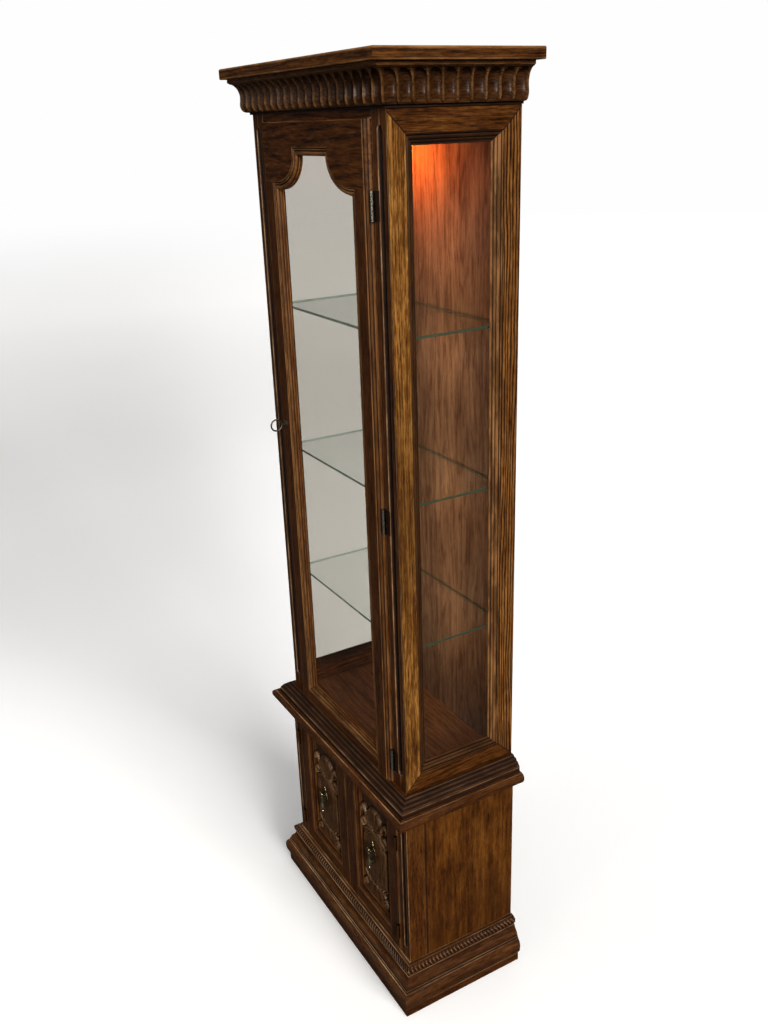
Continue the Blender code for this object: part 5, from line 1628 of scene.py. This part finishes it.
def add_light(name, kind, power, colour):
    light = bpy.data.lights.new(name, kind)
    light.energy = power
    light.color = colour
    ob = bpy.data.objects.new(name, light)
    SCENE.collection.objects.link(ob)
    return ob


def point_along(ob, direction):
    ob.rotation_euler = Vector(direction).to_track_quat("-Z", "Y").to_euler()


def window(name, floor, power, towards, floor_only):
    """Daylight from the right, reaching the floor alone or everything but the floor."""
    ob = add_light(name, "SUN", power, (1.0, 0.985, 0.965) if floor_only else (1.0, 0.965, 0.91))
    ob.data.angle = math.radians(20 if floor_only else 15)
    point_along(ob, towards)
    group = bpy.data.collections.new(name + "_reach")
    group.objects.link(floor)
    ob.light_linking.receiver_collection = group
    if not floor_only:
        group.collection_objects[0].light_linking.link_state = "EXCLUDE"


def area(name, place, aim, size, power, colour=(1, 1, 1)):
    ob = add_light(name, "AREA", power, colour)
    ob.data.shape = "RECTANGLE"
    ob.data.size, ob.data.size_y = size
    ob.location = place
    point_along(ob, Vector(aim) - Vector(place))
    ob.visible_camera = False


def glow_light(name, kind, place, power, colour, size):
    """A small light inside the case, hidden from the camera and from reflections."""
    ob = add_light(name, kind, power, colour)
    ob.data.shadow_soft_size = size
    ob.location = place
    ob.visible_glossy = False
    ob.visible_camera = False
    return ob


def build_lights(floor):
    window("window_right", floor, power=2.35, towards=(-1.0, 0.30, -0.44), floor_only=False)
    window("window_floor_a", floor, power=3.6, towards=(-1.0, -0.17, -0.28), floor_only=True)
    window("window_floor_b", floor, power=3.4, towards=(-1.0, 0.09, -0.28), floor_only=True)
    area("key_right", place=(3.4, -0.9, 2.9), aim=(0.2, 0.0, 1.2), size=(1.0, 1.6), power=30,
         colour=(1.0, 0.93, 0.82))
    area("fill_front", place=(-1.0, -3.4, 2.3), aim=(0.0, 0.0, 1.0), size=(1.4, 1.8), power=11,
         colour=(1.0, 0.95, 0.88))
    area("strip_front", place=(0.9, -2.6, 1.9), aim=(0.0, 0.0, 1.1), size=(0.18, 2.2), power=7,
         colour=(1.0, 0.95, 0.88))
    area("over", place=(0.2, -0.4, 4.2), aim=(0, 0, 0), size=(2.4, 2.4), power=22)
    area("rear", place=(-2.2, 3.2, 2.6), aim=(0, 0, 1.0), size=(2.0, 2.0), power=16)

    # the lamp shines down and back from just under its bulb
    lo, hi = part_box("lamp_bulb")
    x, y, z = (lo.x + hi.x) / 2, (lo.y + hi.y) / 2, lo.z
    place = (x, y, z - 0.018)
    lamp = glow_light("case_lamp", "SPOT", place=place, power=5.4,
                      colour=(1.0, 0.240, 0.048), size=0.014)
    lamp.data.spot_size = math.radians(176.0)
    lamp.data.spot_blend = 1.0
    point_along(lamp, Vector((x + 0.06, y + 0.20, z - 0.09)) - Vector(place))
    for k, (z, power) in enumerate(((1.64, 0.901), (1.40, 0.901), (1.12, 0.901), (0.84, 0.848))):
        glow_light(f"case_glow_{k}", "POINT", place=(0.05, 0.00, z), power=power,
                   colour=(1.0, 0.79, 0.60), size=0.05)


def build_camera():
    data = bpy.data.cameras.new("camera")
    data.sensor_width = 36.0
    data.lens = 34.7805
    data.clip_start, data.clip_end = 0.05, 200.0
    camera = bpy.data.objects.new("camera", data)
    # columns: the camera's right, up and backward directions, then its place
    camera.matrix_world = Matrix((
        (0.5042830816, -0.3030681541, 0.8086072657, 1.7145124),
        (0.8628966349, 0.2131171426, -0.4582598971, -0.9695071),
        (-0.0334384368, 0.9288339127, 0.3689860759, 1.8571483),
        (0.0, 0.0, 0.0, 1.0)))
    SCENE.collection.objects.link(camera)
    SCENE.camera = camera


# =============================================================================
# Build
# =============================================================================
build_crown()
build_waist()
build_plinth()
for side, tag in SIDES:
    build_side_frame(side, tag)
for side, tag in SIDES:
    build_corner_stiles(side, tag)
build_top_board()
build_door_frame()
build_door_head()
build_door_moulding()
for side, tag in SIDES:
    build_base_door(side, tag)
for side, tag in SIDES:
    build_base_side(side, tag)
dress_kept_pieces()
for side, tag in SIDES:
    build_pull(side, tag)
build_shelf_pins()
studio_floor = build_floor()
build_world()
build_lights(studio_floor)
build_camera()
SCENE.view_settings.view_transform = "Standard"
SCENE.view_settings.look = "None"
SCENE.cycles.transparent_max_bounces = 24
